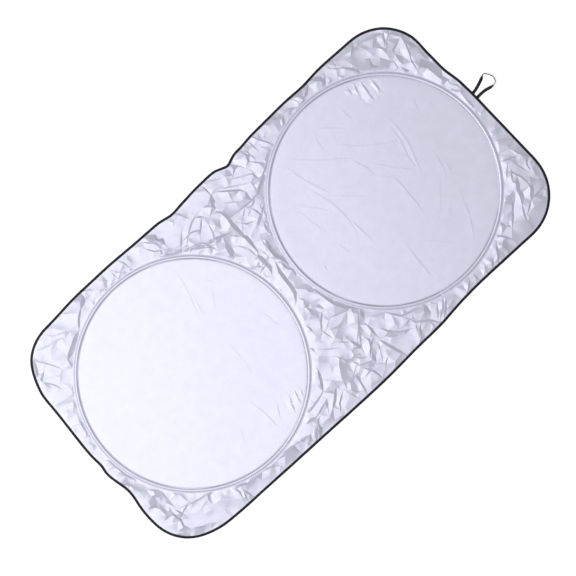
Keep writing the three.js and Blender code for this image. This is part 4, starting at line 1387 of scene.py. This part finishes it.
class SUNSHADE_OT_stage(Operator):
    """Make the white floor, the soft studio light and the camera above the sheet"""

    bl_idname = "sunshade.stage"
    bl_label = "Stage"

    # Half the width of the floor, how far it lies below the sheet, and how brightly the camera sees it glow
    FLOOR_REACH = 6.0
    FLOOR_DROP = 0.2 * MM
    FLOOR_GLOW = 0.45
    # The main lamp's width, length and place, above the sheet and off to its left end
    LAMP_SIZE = (4.5, 6.0)
    LAMP_PLACE = (-2.05, 0.75, 4.1)

    def execute(self, context):
        settings = context.scene.sunshade_stage
        self.make_floor()
        self.make_world(settings)
        self.make_key(settings)
        self.make_camera(settings)
        context.scene.view_settings.view_transform = "Standard"
        return {"FINISHED"}

    def make_floor(self):
        ground = bmesh.new()
        bmesh.ops.create_grid(ground, x_segments=1, y_segments=1, size=self.FLOOR_REACH)
        mesh = bpy.data.meshes.new("floor")
        ground.to_mesh(mesh)
        ground.free()
        material, nodes, links, shader = new_material("white_floor")
        shader.inputs["Base Color"].default_value = (0.93, 0.93, 0.93, 1.0)
        shader.inputs["Roughness"].default_value = 0.9
        shader.inputs["Specular IOR Level"].default_value = 0.1
        glow = nodes.new("ShaderNodeEmission")
        glow.inputs["Strength"].default_value = self.FLOOR_GLOW
        glowing = nodes.new("ShaderNodeAddShader")
        links.new(shader.outputs["BSDF"], glowing.inputs[0])
        links.new(glow.outputs["Emission"], glowing.inputs[1])
        show_to_camera(nodes, links, shader.outputs["BSDF"], glowing.outputs["Shader"], "Material Output")
        mesh.materials.append(material)
        floor = bpy.data.objects.new("floor", mesh)
        floor.location.z = -self.FLOOR_DROP
        bpy.context.scene.collection.objects.link(floor)

    @staticmethod
    def make_world(settings):
        world = bpy.data.worlds.new("studio")
        bpy.context.scene.world = world
        world.use_nodes = True
        nodes, links = world.node_tree.nodes, world.node_tree.links
        light = nodes["Background"]
        light.inputs["Color"].default_value = (1.0, 1.0, 1.0, 1.0)
        light.inputs["Strength"].default_value = settings.world_light
        backdrop = nodes.new("ShaderNodeBackground")
        backdrop.inputs["Color"].default_value = (1.0, 1.0, 1.0, 1.0)
        backdrop.inputs["Strength"].default_value = 1.0
        usual, shown = light.outputs["Background"], backdrop.outputs["Background"]
        show_to_camera(nodes, links, usual, shown, "World Output")

    def make_key(self, settings):
        """A wide soft lamp that shines on the middle of the sheet."""
        lamp = bpy.data.lights.new("key", "AREA")
        lamp.shape = "RECTANGLE"
        lamp.size, lamp.size_y = self.LAMP_SIZE
        lamp.energy = settings.key_power
        key = bpy.data.objects.new("key", lamp)
        key.location = self.LAMP_PLACE
        aim = SHEET_MIDDLE - key.location
        key.rotation_euler = aim.to_track_quat("-Z", "Y").to_euler()
        bpy.context.scene.collection.objects.link(key)

    @staticmethod
    def make_camera(settings):
        """Straight above, turned so that the sheet lies across the picture from corner to corner."""
        camera = bpy.data.objects.new("camera", bpy.data.cameras.new("camera"))
        camera.data.lens = settings.lens
        centre = picture_frame(settings)[0]
        distance = settings.picture_width * settings.lens / camera.data.sensor_width
        camera.location = (centre.x, centre.y, distance)
        camera.rotation_euler = (0.0, 0.0, settings.turn)
        bpy.context.scene.collection.objects.link(camera)
        bpy.context.scene.camera = camera


class SUNSHADE_PT_panel(Panel):
    """Lists the sunshade's pieces and their settings"""

    bl_idname = "SUNSHADE_PT_panel"
    bl_label = "Sunshade"
    bl_space_type = "VIEW_3D"
    bl_region_type = "UI"
    bl_category = "Sunshade"

    def draw(self, context):
        scene = context.scene
        sections = (
            ("sunshade.sheet", scene.sunshade_sheet),
            ("sunshade.hoops", scene.sunshade_hoops),
            ("sunshade.binding", scene.sunshade_binding),
            ("sunshade.elastic_loop", scene.sunshade_loop),
            ("sunshade.stage", scene.sunshade_stage),
        )
        for operator_name, settings in sections:
            section = self.layout.box()
            section.operator(operator_name)
            for setting in settings.__annotations__:
                section.prop(settings, setting)


SETTINGS = {
    "sunshade_sheet": SunshadeSheetSettings,
    "sunshade_hoops": SunshadeHoopSettings,
    "sunshade_binding": SunshadeBindingSettings,
    "sunshade_loop": SunshadeLoopSettings,
    "sunshade_stage": SunshadeStageSettings,
}
OPERATORS = (
    SUNSHADE_OT_sheet,
    SUNSHADE_OT_hoops,
    SUNSHADE_OT_binding,
    SUNSHADE_OT_elastic_loop,
    SUNSHADE_OT_stage,
)


def register():
    for made in (*SETTINGS.values(), *OPERATORS, SUNSHADE_PT_panel):
        bpy.utils.register_class(made)
    for name, settings in SETTINGS.items():
        setattr(bpy.types.Scene, name, PointerProperty(type=settings))


def unregister():
    for name in SETTINGS:
        delattr(bpy.types.Scene, name)
    for made in (SUNSHADE_PT_panel, *reversed(OPERATORS), *reversed(SETTINGS.values())):
        bpy.utils.unregister_class(made)


def main():
    register()
    bpy.ops.sunshade.sheet()
    bpy.ops.sunshade.hoops()
    bpy.ops.sunshade.binding()
    bpy.ops.sunshade.elastic_loop()
    bpy.ops.sunshade.stage()


if __name__ == "__main__":
    main()
